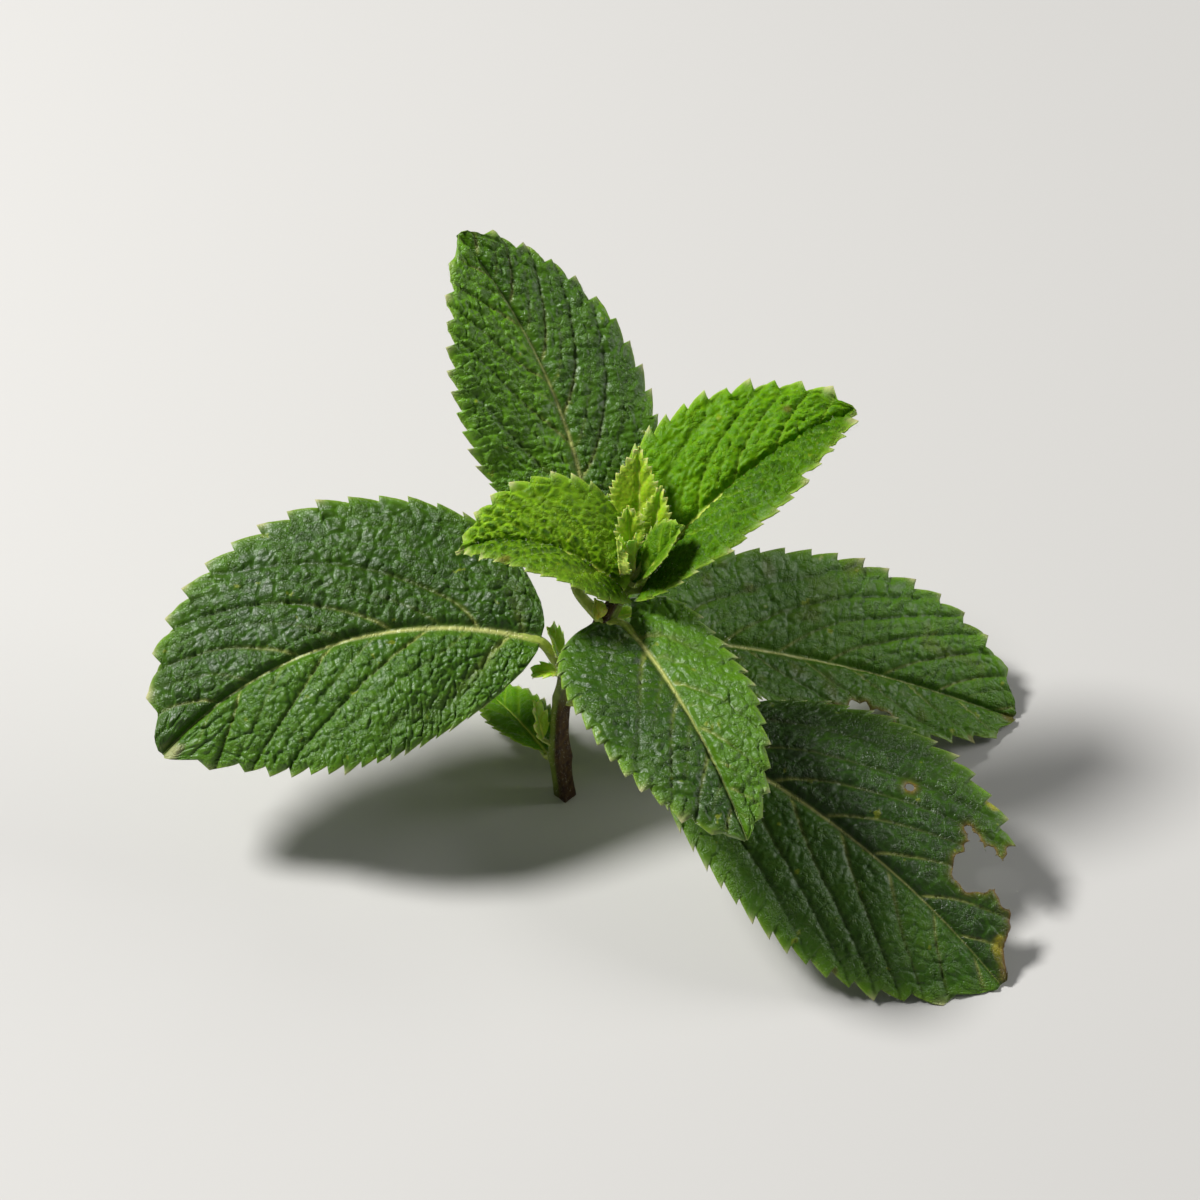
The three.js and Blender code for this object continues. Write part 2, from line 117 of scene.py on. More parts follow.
LEAVES = {
    "leaf_top_left": dict(
        GROWN, joint=NODES["top"], base=(6.5, 1.6, 41.6),
        heading=166, turn=20, rise=46, droop=66, roll=-14,
        fold=(42, 25), curl=(-25, -10), lobe=(0.2, 0.12), skew=-0.1,
        length=21.8, width=18.6, full_base=0.7, full_tip=1.0, teeth=12, tooth_height=0.8,
        kind="fresh", cell=1.3, spacing=3.8, weak=0.8, relief=1.05, veined=1.4,
        # a deeper green all over, partly this leaf's own colour and partly painted shade
        dark=(1.4, 1.1), lime=(0.0, 0.1), net=(0.6, 1.5), pale=0.6, down=400,
    ),
    "leaf_top_right": dict(
        GROWN, joint=NODES["top"], base=(10.4, 3.2, 39.0),
        heading=33, turn=-6, rise=50, droop=46, roll=6,
        fold=(22, 30), lobe=(0.06, 0.06), skew=0.1,
        length=38, width=24, full_base=0.6, full_tip=0.72, teeth=15,
        kind="fresh", cell=1.6, spacing=7.0, weak=0.4, relief=2.0, veined=0.7,
        # painted shade darkens the right half of this leaf
        dark=(0.05, 1.0), lime=(0.35, 0.1), net=(0.4, 0.2), pale=0.2, down=400,
    ),
    "leaf_second_back": dict(
        GROWN, joint=NODES["second"], via=(1.7, 4.6, 38.0), base=(4.0, 8.4, 41.8),
        heading=100, turn=43, rise=45, droop=7,
        fold=(5, 5), skew=0.03,
        length=45.6, width=27.2, full_base=0.55, full_tip=0.66, teeth=14, tooth_height=1.0, point=1.4,
        cell=1.7, relief=1.6, veined=0.8,
        # painted light lightens this leaf, most of all its left half
        dark=(0.1, 0.3), light=(0.5, 0.1), lime=(0.25, 0.1), net=(1.2, 0.3), down=300,
    ),
    "leaf_second_front": dict(
        GROWN, joint=NODES["second"], base=(8.5, -0.8, 35.6),
        heading=-62, turn=-6, rise=8, droop=32,
        fold=(10, 8), lobe=(0.12, 0.06), skew=-0.17,
        length=37, width=23.8, full_base=0.32, full_tip=0.6, teeth=14, tooth_height=0.85,
        spacing=9.0, offset=-0.55, relief=1.8, veined=0.5,
        # painted light on the left half and painted shade on the right half of this leaf
        dark=(0.2, 0.65), light=(0.5, 0.1), lime=(0.2, 0.0), net=(0.2, 0.0), margin=1.6, down=600,
    ),
    "leaf_third_left": dict(
        GROWN, joint=NODES["third"], base=(-3.0, 1.5, 30.0),
        heading=170, turn=42, rise=12, droop=46, roll=-25,
        fold=(4, 4), curl=(-15, -10), skew=-0.07,
        length=55, width=38, full_base=0.55, full_tip=0.6, teeth=17, point=2.8,
        cell=1.9, spacing=13.0, offset=-0.45, relief=1.6, veined=1.2,
        # painted light on the near, left half and painted shade on the far, right half of this leaf
        dark=(0.0, 0.8), light=(0.5, 0.0), net=(0.15, 0.35), red=0.9,
    ),
    "leaf_third_right": dict(
        GROWN, joint=NODES["third"], base=(8.0, 7.0, 25.3),
        heading=20, turn=-24, rise=-21.9, droop=3, roll=19,
        fold=(16, 16), lobe=(0.07, 0), skew=0.2,
        length=63, width=27, full_base=0.68, full_tip=0.55, teeth=17,
        # painted light lightens this leaf
        spacing=9.0, weak=0.2, relief=1.3, dark=(0.2, 0.2), light=(0.8, 0.6), brown=0.4,
    ),
    "leaf_fourth_right": dict(
        GROWN, joint=NODES["fourth"], base=(9.0, -2.0, 19.6),
        heading=-28, turn=-10, rise=1, droop=36.3, roll=7, twist=18,
        fold=(6, 3), curl=(-28, -10), lobe=(-0.12, 0), skew=0.04,
        length=62.5, width=37, full_base=0.75, full_tip=0.55, teeth=18, point=2.4,
        # painted shadow of the leaves above darkens the far, left half; painted light on the near, right half
        spacing=8.3, weak=0.0, dark=(1.3, 0.15), light=(0.0, 0.15), net=(0.2, 0.15), margin=1.6,
    ),
    "leaf_lowest_left": dict(
        GROWN, joint=NODES["lowest"], base=(-2.5, 2.0, 6.4),
        heading=118, rise=-5, droop=23, fold=(20, 20),
        length=22, width=9.4, full_base=0.5, full_tip=0.7, teeth=10, tooth_height=0.7, stalk=0.6,
        # painted light on this leaf, which lies in the shadow of the large leaf above it
        tint="fresh", cell=1.6, spacing=4.5, light=(1.0, 0.6), pale=0.3,
    ),
    "tip_leaf_back": dict(
        YOUNG, joint=(9.4, 4.6, 41.2), base=(10.4, 8.0, 46.0),
        heading=91, rise=62, fold=(8, 30), skew=0.15,
        length=10.8, width=7.0, full_base=0.7, full_tip=1.1, teeth=11, tooth_height=0.45, dark=(0.0, 0.4),
    ),
    "tip_leaf_back_right": dict(
        YOUNG, joint=(9.6, 3.6, 40.4), base=(12.3, 5.6, 44.4),
        heading=75, rise=68, droop=8,
        length=8.4, width=4.2, full_base=0.7, full_tip=1.0, teeth=9, tooth_height=0.45,
    ),
    "tip_leaf_right": dict(
        YOUNG, joint=(9.7, 2.1, 40.2), base=(10.8, 1.0, 42.4),
        heading=15, rise=60, droop=6, fold=(26, 36), curl=(-20, -20),
        # painted shade darkens this folded leaf all over
        length=10.2, width=7.6, full_base=0.8, full_tip=0.7, teeth=8, tint="fresh", dark=(0.9, 0.9), hairs=60,
    ),
    "tip_leaf_middle": dict(
        YOUNG, joint=(8.7, 3.9, 41.6), base=(9.1, 4.5, 43.4),
        heading=97, rise=74, droop=6, fold=(20, 20),
        length=7.4, width=4.2, full_base=0.8, full_tip=0.8, teeth=8, tooth_height=0.45, light=(1.0, 1.0),
    ),
    "tip_leaf_front_left": dict(
        YOUNG, joint=(8.2, 2.6, 41.6), base=(8.0, 2.3, 42.4),
        heading=190, rise=84, fold=(25, 25),
        length=6.4, width=4.4, full_tip=0.8, teeth=5, stalk=0.3,
    ),
    "tip_leaf_front_right": dict(
        YOUNG, joint=(9.2, 2.9, 41.4), base=(9.5, 3.0, 42.4),
        heading=-40, rise=88, fold=(25, 25),
        length=6.0, width=4.0, full_tip=0.8, teeth=5, stalk=0.3,
    ),
    "shoot_second_left": dict(
        YOUNG, joint=(5.4, 1.4, 33.8), base=(4.8, 0.9, 35.2),
        heading=130, rise=75, fold=(25, 25),
        # painted light on this bud, which lies in the shade of the leaves above it
        length=3, width=2.8, teeth=2, tooth_height=0.15, light=(1.0, 1.0), lime=(0.6, 0.6),
    ),
    "shoot_second_right": dict(
        YOUNG, joint=(6.3, 2.4, 33.4), base=(7.4, 3.1, 33.2),
        heading=5, rise=15, droop=10,
        length=2.4, width=2.6, teeth=2, tooth_height=0.15, light=(0.6, 0.6),
    ),
    "shoot_third_upper": dict(
        YOUNG, joint=(1.9, 1.2, 25.5), base=(-0.5, 0.4, 28.2),
        heading=170, rise=72, length=5.4, width=4.5, teeth=4, dark=(0.3, 0.3),
    ),
    "shoot_third_inner": dict(
        YOUNG, joint=(2.1, 1.2, 26.0), base=(1.7, -0.9, 28.0),
        heading=100, rise=84, length=4.6, width=3.6, teeth=3, dark=(0.3, 0.3),
    ),
    "shoot_third_lower": dict(
        YOUNG, joint=(1.3, 1.0, 24.3), base=(-0.9, -1.2, 26.5),
        heading=190, rise=35, droop=60, length=3.5, width=3, teeth=3,
    ),
    "shoot_lowest": dict(
        YOUNG, joint=(-0.7, 0.2, 9.5), base=(-3.0, 0.3, 11.5),
        heading=150, rise=78,
        length=7, width=3.2, full_tip=0.7, teeth=3, dark=(0.3, 0.3),
    ),
}

# Eaten places: round cuts at a share of the midrib, a distance from it (left is positive) and a radius.
BITES = {
    "leaf_fourth_right": [
        (0.6, 11.0, 0.6), (0.752, 11.9, 0.7), (0.77, 11.4, 0.9), (0.79, 10.2, 1.5), (0.815, 11.5, 0.9),
        (0.818, 7.9, 3.0), (0.852, 9.8, 2.4), (0.885, 14.0, 3.2), (0.908, 9.8, 2.6), (0.953, 10.2, 3.3),
        (0.985, 8.0, 2.9), (1.144, 15.5, 16.0),
    ],
    "leaf_third_right": [
        (0.53, -9.9, 2.2), (0.565, -11.4, 1.6), (0.6, -8.9, 2.9), (0.655, -9.5, 2.8),
    ],
}

# Marked places: a share of the midrib, a distance from it (left is positive), a radius and what the mark is.
MARKS = {
    "leaf_fourth_right": [
        (0.745, 17.6, 1.2, "yellow"), (0.975, 3.4, 1.8, "yellow"), (0.995, 1.2, 1.0, "brown"),
        (0.53, -18.4, 0.8, "brown"), (0.58, -18.6, 0.8, "brown"), (0.74, -16.2, 0.8, "brown"),
        (0.84, 12.9, 0.8, "brown"),
    ],
    "leaf_third_right": [(0.99, -0.5, 1.2, "brown"), (0.89, -6.9, 0.9, "brown"), (0.55, -9.0, 1.0, "yellow")],
    "leaf_third_left": [(0.99, 1.0, 1.1, "pale")],
    "leaf_top_right": [(0.81, 4.3, 0.7, "brown"), (0.995, 0.0, 0.5, "pale")],
    "shoot_second_left": [(0.5, 0.0, 4.0, "yellow")],
    "leaf_top_left": [(0.735, 5.2, 0.7, "brown"), (0.99, 0.0, 0.7, "pale")],
}

# Places along a blade, in shares of its midrib.
BLADE_START = 0.004
FIRST_TOOTH = 0.03
POINT_START = 0.93  # where the blade's tip begins to be drawn out
LAST_TOOTH = 0.97
BLADE_END = 0.998

# Margins and teeth.
NARROWEST = 0.3  # the least half width of a blade
LEAST_BEND = 1e-3  # a half that curls less than this, in radians, curls by this much
CROWDING = 0.88  # below 1, the teeth stand closer together towards the base
CREST = 0.8  # where a tooth's point is on its way from notch to notch
CREST_STEPS = 5  # a tooth's grid steps are a multiple of this, so that a row meets its point
TOOTH_BULGE = 0.8  # below 1, the long side of a tooth is rounded outwards
SMALLEST_TOOTH, TOOTH_RANGE = 0.75, 0.5
TOOTH_LEAN = 0.8  # how far a tooth leans forward, as a share of its height
MARGIN_ONLY = 8  # the higher, the closer to the margin the teeth stay
CUT_RAGGED, CUT_WAVES = 0.06, 7  # how ragged the eaten edges are, and how many waves go round a bite
CUT_SNAP = 1.5  # grid points up to this many spacings inside a cut are moved onto its edge

# Side veins. Widths and reaches are in millimetres.
SLANT = 1.1  # how far a side vein runs forward for each millimetre outwards
BEND = 1.5  # how much it bends forward on its way
BASAL_SPREAD = 1.5  # how far apart the lowest side veins leave the midrib
STAGGER = 0.18  # how far the two halves' side veins are out of step
WANDER, WANDER_SIZE = 0.08, 7  # how far they stray, as a share of their spacing, and over how long a way
SIDE_VEIN_WIDTH, SIDE_VEIN_SWELL = 0.15, 0.08  # at the tip, and what is added towards the base
STRONG_FADES, WEAK_FADES = 0.4, 0.5  # how much of its strength a side vein has lost at the margin
STRONG_GROOVE, WEAK_GROOVE = 0.55, 0.4  # the reach of the groove along a side vein
WIDE_BLADE = 19  # the half width of a blade whose midrib is about full size

# Pockets between the veins.
CELL_JITTER = 0.8  # how uneven the pockets are, from 0 to 1
POCKET_BEND = 0.25  # how far their walls are bent, as a share of their size
GROOVE = 0.27  # how wide each side of a groove between two pockets is
FINE_POCKET, FINE_GROOVE = 0.5, 0.7  # the smaller pockets' size and grooves, as shares of the larger ones'
WALL_WIDTH = 0.19
HEIGHT = SimpleNamespace(  # millimetres, times a leaf's veined for quilt and its relief for the others
    quilt=0.5,  # the bulge between side veins
    pocket=0.08, crumpled=0.1, slant=0.5, tone=0.08,  # a pocket's top, and how it varies
    dimple=0.09, fine_slant=0.24,  # the smaller pockets' tops
    crease=0.15, side_vein=0.12, midrib=0.12, valley=0.28,
    sway=0.5, ripple=0.35,  # slow waves over the half and along the margin
)
VALLEY_FLATTENS, MARGIN_FLATTENS = 0.75, 0.7  # how much relief is lost beside the midrib and at the margin

# The blade's thickness and underside.
BLADE_THICKNESS = 0.26
EDGE_THICKNESS = 0.35  # at the edge, as a share
MIDRIB_DEPTH, RIB_DEPTH, NET_DEPTH = 0.9, 0.12, 0.05  # how far veins stand out below
FLOOR_GAP = 0.03  # the leaves stay this far above the surface that the sprig lies on

# Widths of coloured lines and the sizes of stains, in millimetres; the band inside the margin is a share.
RIM_WIDTH, TIP_WIDTH = 0.22, 0.35
MARGIN_BAND = 0.045
STAIN_SIZE, MARK_GRAIN = 3, 0.8

# Stalks and the stem.
STALK_END = (0.05, 0.14)  # where the stalk runs on under the blade, in shares of the midrib
STALK_RADIUS, STALK_OVAL = 0.92, 1.08
STEM_HEIGHT = 41
CORNER = math.pi / 4  # from the middle of one of the stem's sides to its corner
SQUARENESS = 0.78  # 0 is a round stem, and 1 a square one
NODE_SWELL, NODE_LENGTH = 0.1, 0.9
FOOT_BROWN_REACH = 1.6
CUT_RINGS = [(1.0, 0.0), (0.93, 0.0), (0.8, 0.05), (0.62, 0.02), (0.3, 0.12), (0.08, 0.14)]  # share, depth

# Hairs.
LEAF_HAIR = dict(length=0.3, radius=0.022, lean=(0, 0, 0.1))
DOWN = dict(length=0.35, radius=0.014, lean=(0, 0, 0))
STEM_HAIR = dict(length=0.3, radius=0.016, lean=(0, 0, -0.4))
STEM_HAIRS = 700
HAIR_DISORDER, HAIR_ROOT = 0.7, 0.03  # how unevenly they point, and how deep they stand in the surface

# ---- how finely the looks are built
GRID = 0.235  # spacing of a grown blade's surface points
YOUNG_GRID = 0.14
EVEN_CELL = 1.9  # grown blades whose pockets are smaller than this have a finer grid, in proportion
MIDRIB_STEPS = 1200
STALK_RINGS, STALK_SIDES = 48, 20
STEM_STEPS, STEM_SIDES = 220, 64
CAD_RINGS, CAD_SIDES, CAD_SQUARENESS = 20, 12, 0.8  # the stem's rings in its CAD solid
STEM_STEP = 1e-4  # the share of the stem over which its direction is measured
FAR = 99.0  # a distance greater than any that is measured
TINY = 1e-9

# Numbers that the points carry for the materials, four to a colour field.
LEAF_FIELDS = {
    "veins": ("midrib", "secondary", "tertiary", "net"),
    "edges": ("rim", "tips", "burnt", "pocket"),
    "state": ("under", "dark", "lime", "inward"),
    "tones": ("tone", "stain", "near", "station"),
    "levels": ("light", "brown", "yellow", "pale"),
}
STEM_FIELDS = {"state": ("purple", "ridge", "level", "foot")}
BLADE_SLOT, STALK_SLOT, HAIR_SLOT = 0, 1, 2  # a leaf's materials
BARK_SLOT, PITH_SLOT = 0, 1  # the stem's

# What is added to a leaf's own seed for each thing that looks random.
SEEDS = dict(
    tooth=3, bend_along=5, bend_across=6, crease=7, fine_crease=8, sway=9, ripple=10, wander=11, crumple=12,
    pocket=20, fine_pocket=30, stain=40, mark=50, margin_hair=60, margin_pick=61, stalk_hair=66,
    down=70, down_pick=71,
)
LEAF_SEED_STEP, FIRST_LEAF_SEED = 100, 7
STREAK_SEED, KNOT_SEED, STEM_HAIR_SEED = 71, 72, 500
HASH_X, HASH_Y, HASH_SEED = 374761393, 668265263, 1442695041  # large numbers that scramble small ones
HASH_FIRST, HASH_SECOND = 1274126177, 2246822519
LOW_32_BITS, LOW_24_BITS = 0xFFFFFFFF, 0xFFFFFF

# ---- camera and light
CAMERA_ANGLE = math.radians(45)  # how steeply the camera looks down
CAMERA_DISTANCE = 466.7 * MM
CAMERA_TARGET = (0.8, 9.3, -7.7)  # from the middle of the CAD box
LENS = 100
SENSOR_WIDTH = 36
LIGHT_TARGET = (0, 0, 0.03)  # this and the next lines are in metres and watts
SOFTBOX = dict(place=(-0.63, 0.13, 0.84), size=0.26, power=15.0)
FILL = dict(place=(0.92, 0.2, 0.52), size=0.6, power=4.6)
SKY_COLOUR = (0.92, 0.95, 1.0, 1.0)
SKY_STRENGTH = 0.11
FLOOR_REACH = 3.0


# ---- numbers that look random
def scatter(ix, iy, seed):
    """A steady pseudo-random number from 0 to 1 for each pair of whole numbers."""
    h = (ix.astype(np.int64) * HASH_X + iy.astype(np.int64) * HASH_Y + seed * HASH_SEED) & LOW_32_BITS
    h = ((h ^ (h >> 13)) * HASH_FIRST) & LOW_32_BITS
    h = ((h ^ (h >> 16)) * HASH_SECOND) & LOW_32_BITS
    return ((h ^ (h >> 15)) & LOW_24_BITS) / float(LOW_24_BITS)


def noise(x, y, seed):
    """Smooth value noise from -1 to 1 with features one unit across."""
    ix, iy = np.floor(x), np.floor(y)
    fx, fy = x - ix, y - iy
    fx, fy = fx * fx * (3 - 2 * fx), fy * fy * (3 - 2 * fy)
    near = scatter(ix, iy, seed) * (1 - fx) + scatter(ix + 1, iy, seed) * fx
    far = scatter(ix, iy + 1, seed) * (1 - fx) + scatter(ix + 1, iy + 1, seed) * fx
    return 2 * (near * (1 - fy) + far * fy) - 1


def cells(x, y, seed):
    """Distance to the nearest cell wall, in cells, a number for each cell, and a slant that each cell has."""
    ix, iy = np.floor(x), np.floor(y)
    first = np.full(x.shape, FAR)
    second = np.full(x.shape, FAR)
    tone = np.zeros(x.shape)
    slant = np.zeros(x.shape)
    for dx in (-1, 0, 1):
        for dy in (-1, 0, 1):
            cx, cy = ix + dx, iy + dy
            px = cx + 0.5 + CELL_JITTER * (scatter(cx, cy, seed) - 0.5)
            py = cy + 0.5 + CELL_JITTER * (scatter(cx, cy, seed + 1) - 0.5)
            away = np.hypot(px - x, py - y)
            closer = away < first
            second = np.where(closer, first, np.minimum(second, away))
            tone = np.where(closer, scatter(cx, cy, seed + 2), tone)
            lean_x, lean_y = scatter(cx, cy, seed + 3) - 0.5, scatter(cx, cy, seed + 4) - 0.5
            slant = np.where(closer, (x - px) * lean_x + (y - py) * lean_y, slant)
            first = np.where(closer, away, first)
    return (second - first) / 2, tone, slant


# ---- curves
def ease(value, low, high):
    """A smooth step: 0 up to low, 1 from high on."""
    share = np.clip((value - low) / (high - low), 0, 1)
    return share * share * (3 - 2 * share)


def ridge(distance, width):
    """1 on a line, falling on both sides of it to almost nothing at twice this width."""
    return np.exp(-((distance / width) ** 2))


def fade(distance, reach):
    """1 at no distance, and a third at this reach."""
    return np.exp(-distance / reach)


def of_side(pair, side):
    """The left or the right one of a pair for each point; side is 1 on the left and -1 on the right."""
    return np.where(side > 0, pair[0], pair[1])


def unit(vectors):
    return vectors / np.linalg.norm(vectors, axis=-1, keepdims=True)


def catmull_rom(stops, shares):
    """Points at even shares of the way through the stops, on a centripetal Catmull-Rom curve."""
    stops = np.asarray(stops, float)
    padded = np.vstack([2 * stops[0] - stops[1], stops, 2 * stops[-1] - stops[-2]])
    points = []
    for share in shares:
        place = share * (len(stops) - 1)
        step = min(int(place), len(stops) - 2)
        p0, p1, p2, p3 = padded[step:step + 4]
        d0, d1, d2 = (max(np.linalg.norm(b - a), 1e-8) ** 0.5 for a, b in ((p0, p1), (p1, p2), (p2, p3)))
        leave = ((p1 - p0) / d0 - (p2 - p0) / (d0 + d1) + (p2 - p1) / d1) * d1
        arrive = ((p2 - p1) / d1 - (p3 - p1) / (d1 + d2) + (p3 - p2) / d2) * d1
        w = place - step
        points.append(
            p1 + leave * w + (3 * (p2 - p1) - 2 * leave - arrive) * w * w
            + (2 * (p1 - p2) + leave + arrive) * w ** 3
        )
    return np.array(points)


# ---- rings of points round a middle line
def ring_angles(sides):
    return np.arange(sides) / sides * 2 * math.pi


def ring_points(centres, right, up, reach, angle, oval=1.0):
    """A ring of points round each centre; oval stretches the rings sideways."""
    return (
        centres[:, None]
        + right[:, None] * (reach * np.cos(angle) * oval)[..., None]
        + up[:, None] * (reach * np.sin(angle))[..., None]
    ).reshape(-1, 3)


def from_corner(angle):
    """How far a direction round the stem is from its nearest corner."""
    return np.abs((angle + CORNER) % (2 * CORNER) - CORNER)


def stem_rings(steps, sides, squareness):
    """The stem's rings: their centres, the axes across them, and their points' angles and distances."""
    stops = [at for at, _ in STEM]
    widths = [width for _, width in STEM]
    shares = np.linspace(0, 1, steps + 1)
    centres = catmull_rom(stops, shares)
    before, after = np.clip(shares - STEM_STEP, 0, 1), np.clip(shares + STEM_STEP, 0, 1)
    heading = unit(catmull_rom(stops, after) - catmull_rom(stops, before))
    heading[0] = (0, 0, 1)
    width = np.interp(shares * (len(STEM) - 1), range(len(STEM)), widths)
    right = unit(np.array([1.0, 0, 0]) - heading * heading[:, :1])
    up = np.cross(heading, right)
    angle = ring_angles(sides)
    squared = math.cos(CORNER) / np.cos(CORNER - from_corner(angle))
    reach = width[:, None] / 2 * (1 + squareness * (squared - 1))
    return centres, right, up, angle, reach


def frame_shift():
    """How far the CAD frame lies from the plant's own, found from the stem's box."""
    centres, right, up, angle, reach = stem_rings(CAD_RINGS, CAD_SIDES, CAD_SQUARENESS)
    points = ring_points(centres, right, up, reach, angle)
    low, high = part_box("main_stem")
    middle = (np.array(low) + np.array(high)) / 2 / MM
    return middle - (points.min(0) + points.max(0)) / 2


SHIFT = frame_shift()
LOWEST = FLOOR_GAP - SHIFT[2]


def tube_faces(rings, sides, cap_start=True, cap_end=True):
    """Faces between rings of points that follow one another, with a cap over either end."""
    ring, side = np.meshgrid(np.arange(rings - 1), np.arange(sides), indexing="ij")
    after = (side + 1) % sides
    a, b = ring * sides + side, ring * sides + after
    faces = np.stack([a, b, b + sides, a + sides], -1).reshape(-1, 4).tolist()
    if cap_start:
        faces.append(list(range(sides))[::-1])
    if cap_end:
        faces.append([(rings - 1) * sides + i for i in range(sides)])
    return faces


# ---- meshes
def put_in_scene(name, data):
    thing = bpy.data.objects.new(name, data)
    bpy.context.scene.collection.objects.link(thing)
    return thing


def build_mesh(name, points, faces, materials, fields=None, slots=None):
    """A mesh object from points in plant millimetres, faces, and colour fields on its points."""
    mesh = bpy.data.meshes.new(name)
    mesh.from_pydata(((points + SHIFT) * MM).tolist(), [], faces)
    for field, values in (fields or {}).items():
        layer = mesh.color_attributes.new(field, "FLOAT_COLOR", "POINT")
        layer.data.foreach_set("color", np.ascontiguousarray(values, np.float32).ravel())
    for material in materials:
        mesh.materials.append(material)
    if slots is not None:
        mesh.polygons.foreach_set("material_index", np.ascontiguousarray(slots, np.int32))
    mesh.polygons.foreach_set("use_smooth", np.ones(len(mesh.polygons), bool))
    mesh.update()
    return put_in_scene(name, mesh)


def join_parts(parts):
    """Puts meshes given as (points, faces, fields, slot) together into one list of each."""
    points, faces, slots = [], [], []
    fields = {}
    start = 0
    for part_points, part_faces, part_fields, slot in parts:
        points.append(part_points)
        faces.extend([[i + start for i in face] for face in part_faces])
        slots.extend([slot] * len(part_faces))
        for field, values in part_fields.items():
            fields.setdefault(field, []).append(values)
        start += len(part_points)
    return np.vstack(points), faces, {k: np.vstack(v) for k, v in fields.items()}, slots


def colour_fields(count, layout=None, parts=None):
    """The colour fields of this many points: the named parts where the layout has them, the rest blank."""
    fields = {field: np.zeros((count, 4)) for field in LEAF_FIELDS}
    for field, names in (layout or {}).items():
        for column, name in enumerate(names):
            fields[field][:, column] = parts.get(name, 0.0)
    return fields


# ---- a leaf's surface
class Blade:
    """One leaf blade: its terms, and where each point of its sheet lies."""

    def __init__(self, name, terms, seed):
        self.name = name
        self.seed = seed
        self.bites = BITES.get(name, [])
        self.__dict__.update(terms)
        self.tint = self.tint or self.kind
        self.stations = np.linspace(0, 1, MIDRIB_STEPS + 1)
        middles = (self.stations[1:] + self.stations[:-1]) / 2
        along = self.axes(middles)[0]
        steps = np.cumsum(along * self.length / MIDRIB_STEPS, axis=0)
        self.midrib = np.array(self.base) + np.vstack([np.zeros(3), steps])

    def seed_for(self, what):
        return self.seed + SEEDS[what]

    def noise(self, what, x, y):
        """Smooth noise of this leaf's own, from -1 to 1, for one thing that looks random."""
        return noise(x, y, self.seed_for(what))

    def grid(self):
        """The spacing of the surface points."""
        return YOUNG_GRID if self.kind == "young" else GRID * min(self.cell / EVEN_CELL, 1)

    def axes(self, s):
        """Directions along the blade, to its left and up out of it, at each station."""
        compass = np.radians(self.heading + self.turn * s)
        slope = np.radians(self.rise - self.droop * s)
        roll = np.radians(self.roll + self.twist * s)[:, None]
        level = np.cos(slope)
        along = np.stack([level * np.cos(compass), level * np.sin(compass), np.sin(slope)], -1)
        across = np.stack([-np.sin(compass), np.cos(compass), np.zeros_like(s)], -1)
        left = across * np.cos(roll) + np.cross(along, across) * np.sin(roll)
        return along, left, np.cross(along, left)

    def centre(self, s):
        return np.stack([np.interp(s, self.stations, self.midrib[:, i]) for i in range(3)], -1)

    def half_width(self, s, side):
        """Half the blade's width without its teeth."""
        widest = self.full_base / (self.full_base + self.full_tip)
        peak = widest ** self.full_base * (1 - widest) ** self.full_tip
        half = self.width / 2 * s ** self.full_base * (1 - s) ** self.full_tip / peak
        return np.maximum(half * (1 + side * self.skew), NARROWEST)

    def tooth(self, s, side):
        """How far out of its notch the margin stands, from 0 to about 1, at each station."""
        along = np.clip((s - FIRST_TOOTH) / (LAST_TOOTH - FIRST_TOOTH), 0, 1)
        place = self.teeth * along ** CROWDING
        phase = place % 1
        size = SMALLEST_TOOTH + TOOTH_RANGE * scatter(np.floor(place), side, self.seed_for("tooth"))
        rising = np.clip(phase / CREST, 0, 1) ** TOOTH_BULGE
        falling = np.clip((1 - phase) / (1 - CREST), 0, 1)
        inside = (along > 0) & (along < 1)
        return np.where(inside, np.where(phase < CREST, rising, falling) * size, 0.0)

    def place(self, s, share, height):
        """Points of the sheet at stations s and shares of the half width, raised by height."""
        along, left, up = self.axes(s)
        side = np.where(share < 0, -1.0, 1.0)
        part = np.abs(share)
        tooth = self.tooth(s, side)
        outer = part ** MARGIN_ONLY
        reach = self.half_width(s, side) * part + self.tooth_height * (tooth - 0.5) * outer
        start = np.radians(of_side(self.fold, side))
        bend = np.radians(of_side(self.curl, side))
        bend = np.where(np.abs(bend) < LEAST_BEND, LEAST_BEND, bend)
        slope = start + bend * part
        per = np.maximum(reach, 0) / np.maximum(part, TINY)
        out = per * (np.sin(slope) - np.sin(start)) / bend
        lift = per * (np.cos(start) - np.cos(slope)) / bend
        backward = of_side(self.lobe, side) * self.length * (1 - s) ** 2 * part ** 2
        lean = TOOTH_LEAN * self.tooth_height * tooth * outer
        drawn = self.point * np.maximum((s - POINT_START) / (1 - POINT_START), 0) ** 2
        tilt = np.where(part == 0, 0.0, slope * side)
        normal = up * np.cos(tilt)[:, None] - left * np.sin(tilt)[:, None]
        point = (
            self.centre(s) + left * (side * out)[:, None] + up * lift[:, None]
            + along * (lean - backward + drawn)[:, None]
        )
        return point + normal * height[:, None], normal


# ---- a leaf's veins
def places(blade, s, share):
    """Points of the sheet in millimetres: x along the midrib and y away from it, and what goes with them."""
    side = np.where(share < 0, -1.0, 1.0)
    half = blade.half_width(s, side)
    y = np.abs(share) * half
    outward = np.clip(y / np.maximum(half, TINY), 0, 1)
    return SimpleNamespace(
        s=s, x=s * blade.length, y=y, signed=y * side, side=side, half=half, outward=outward, taper=1 - s,
    )


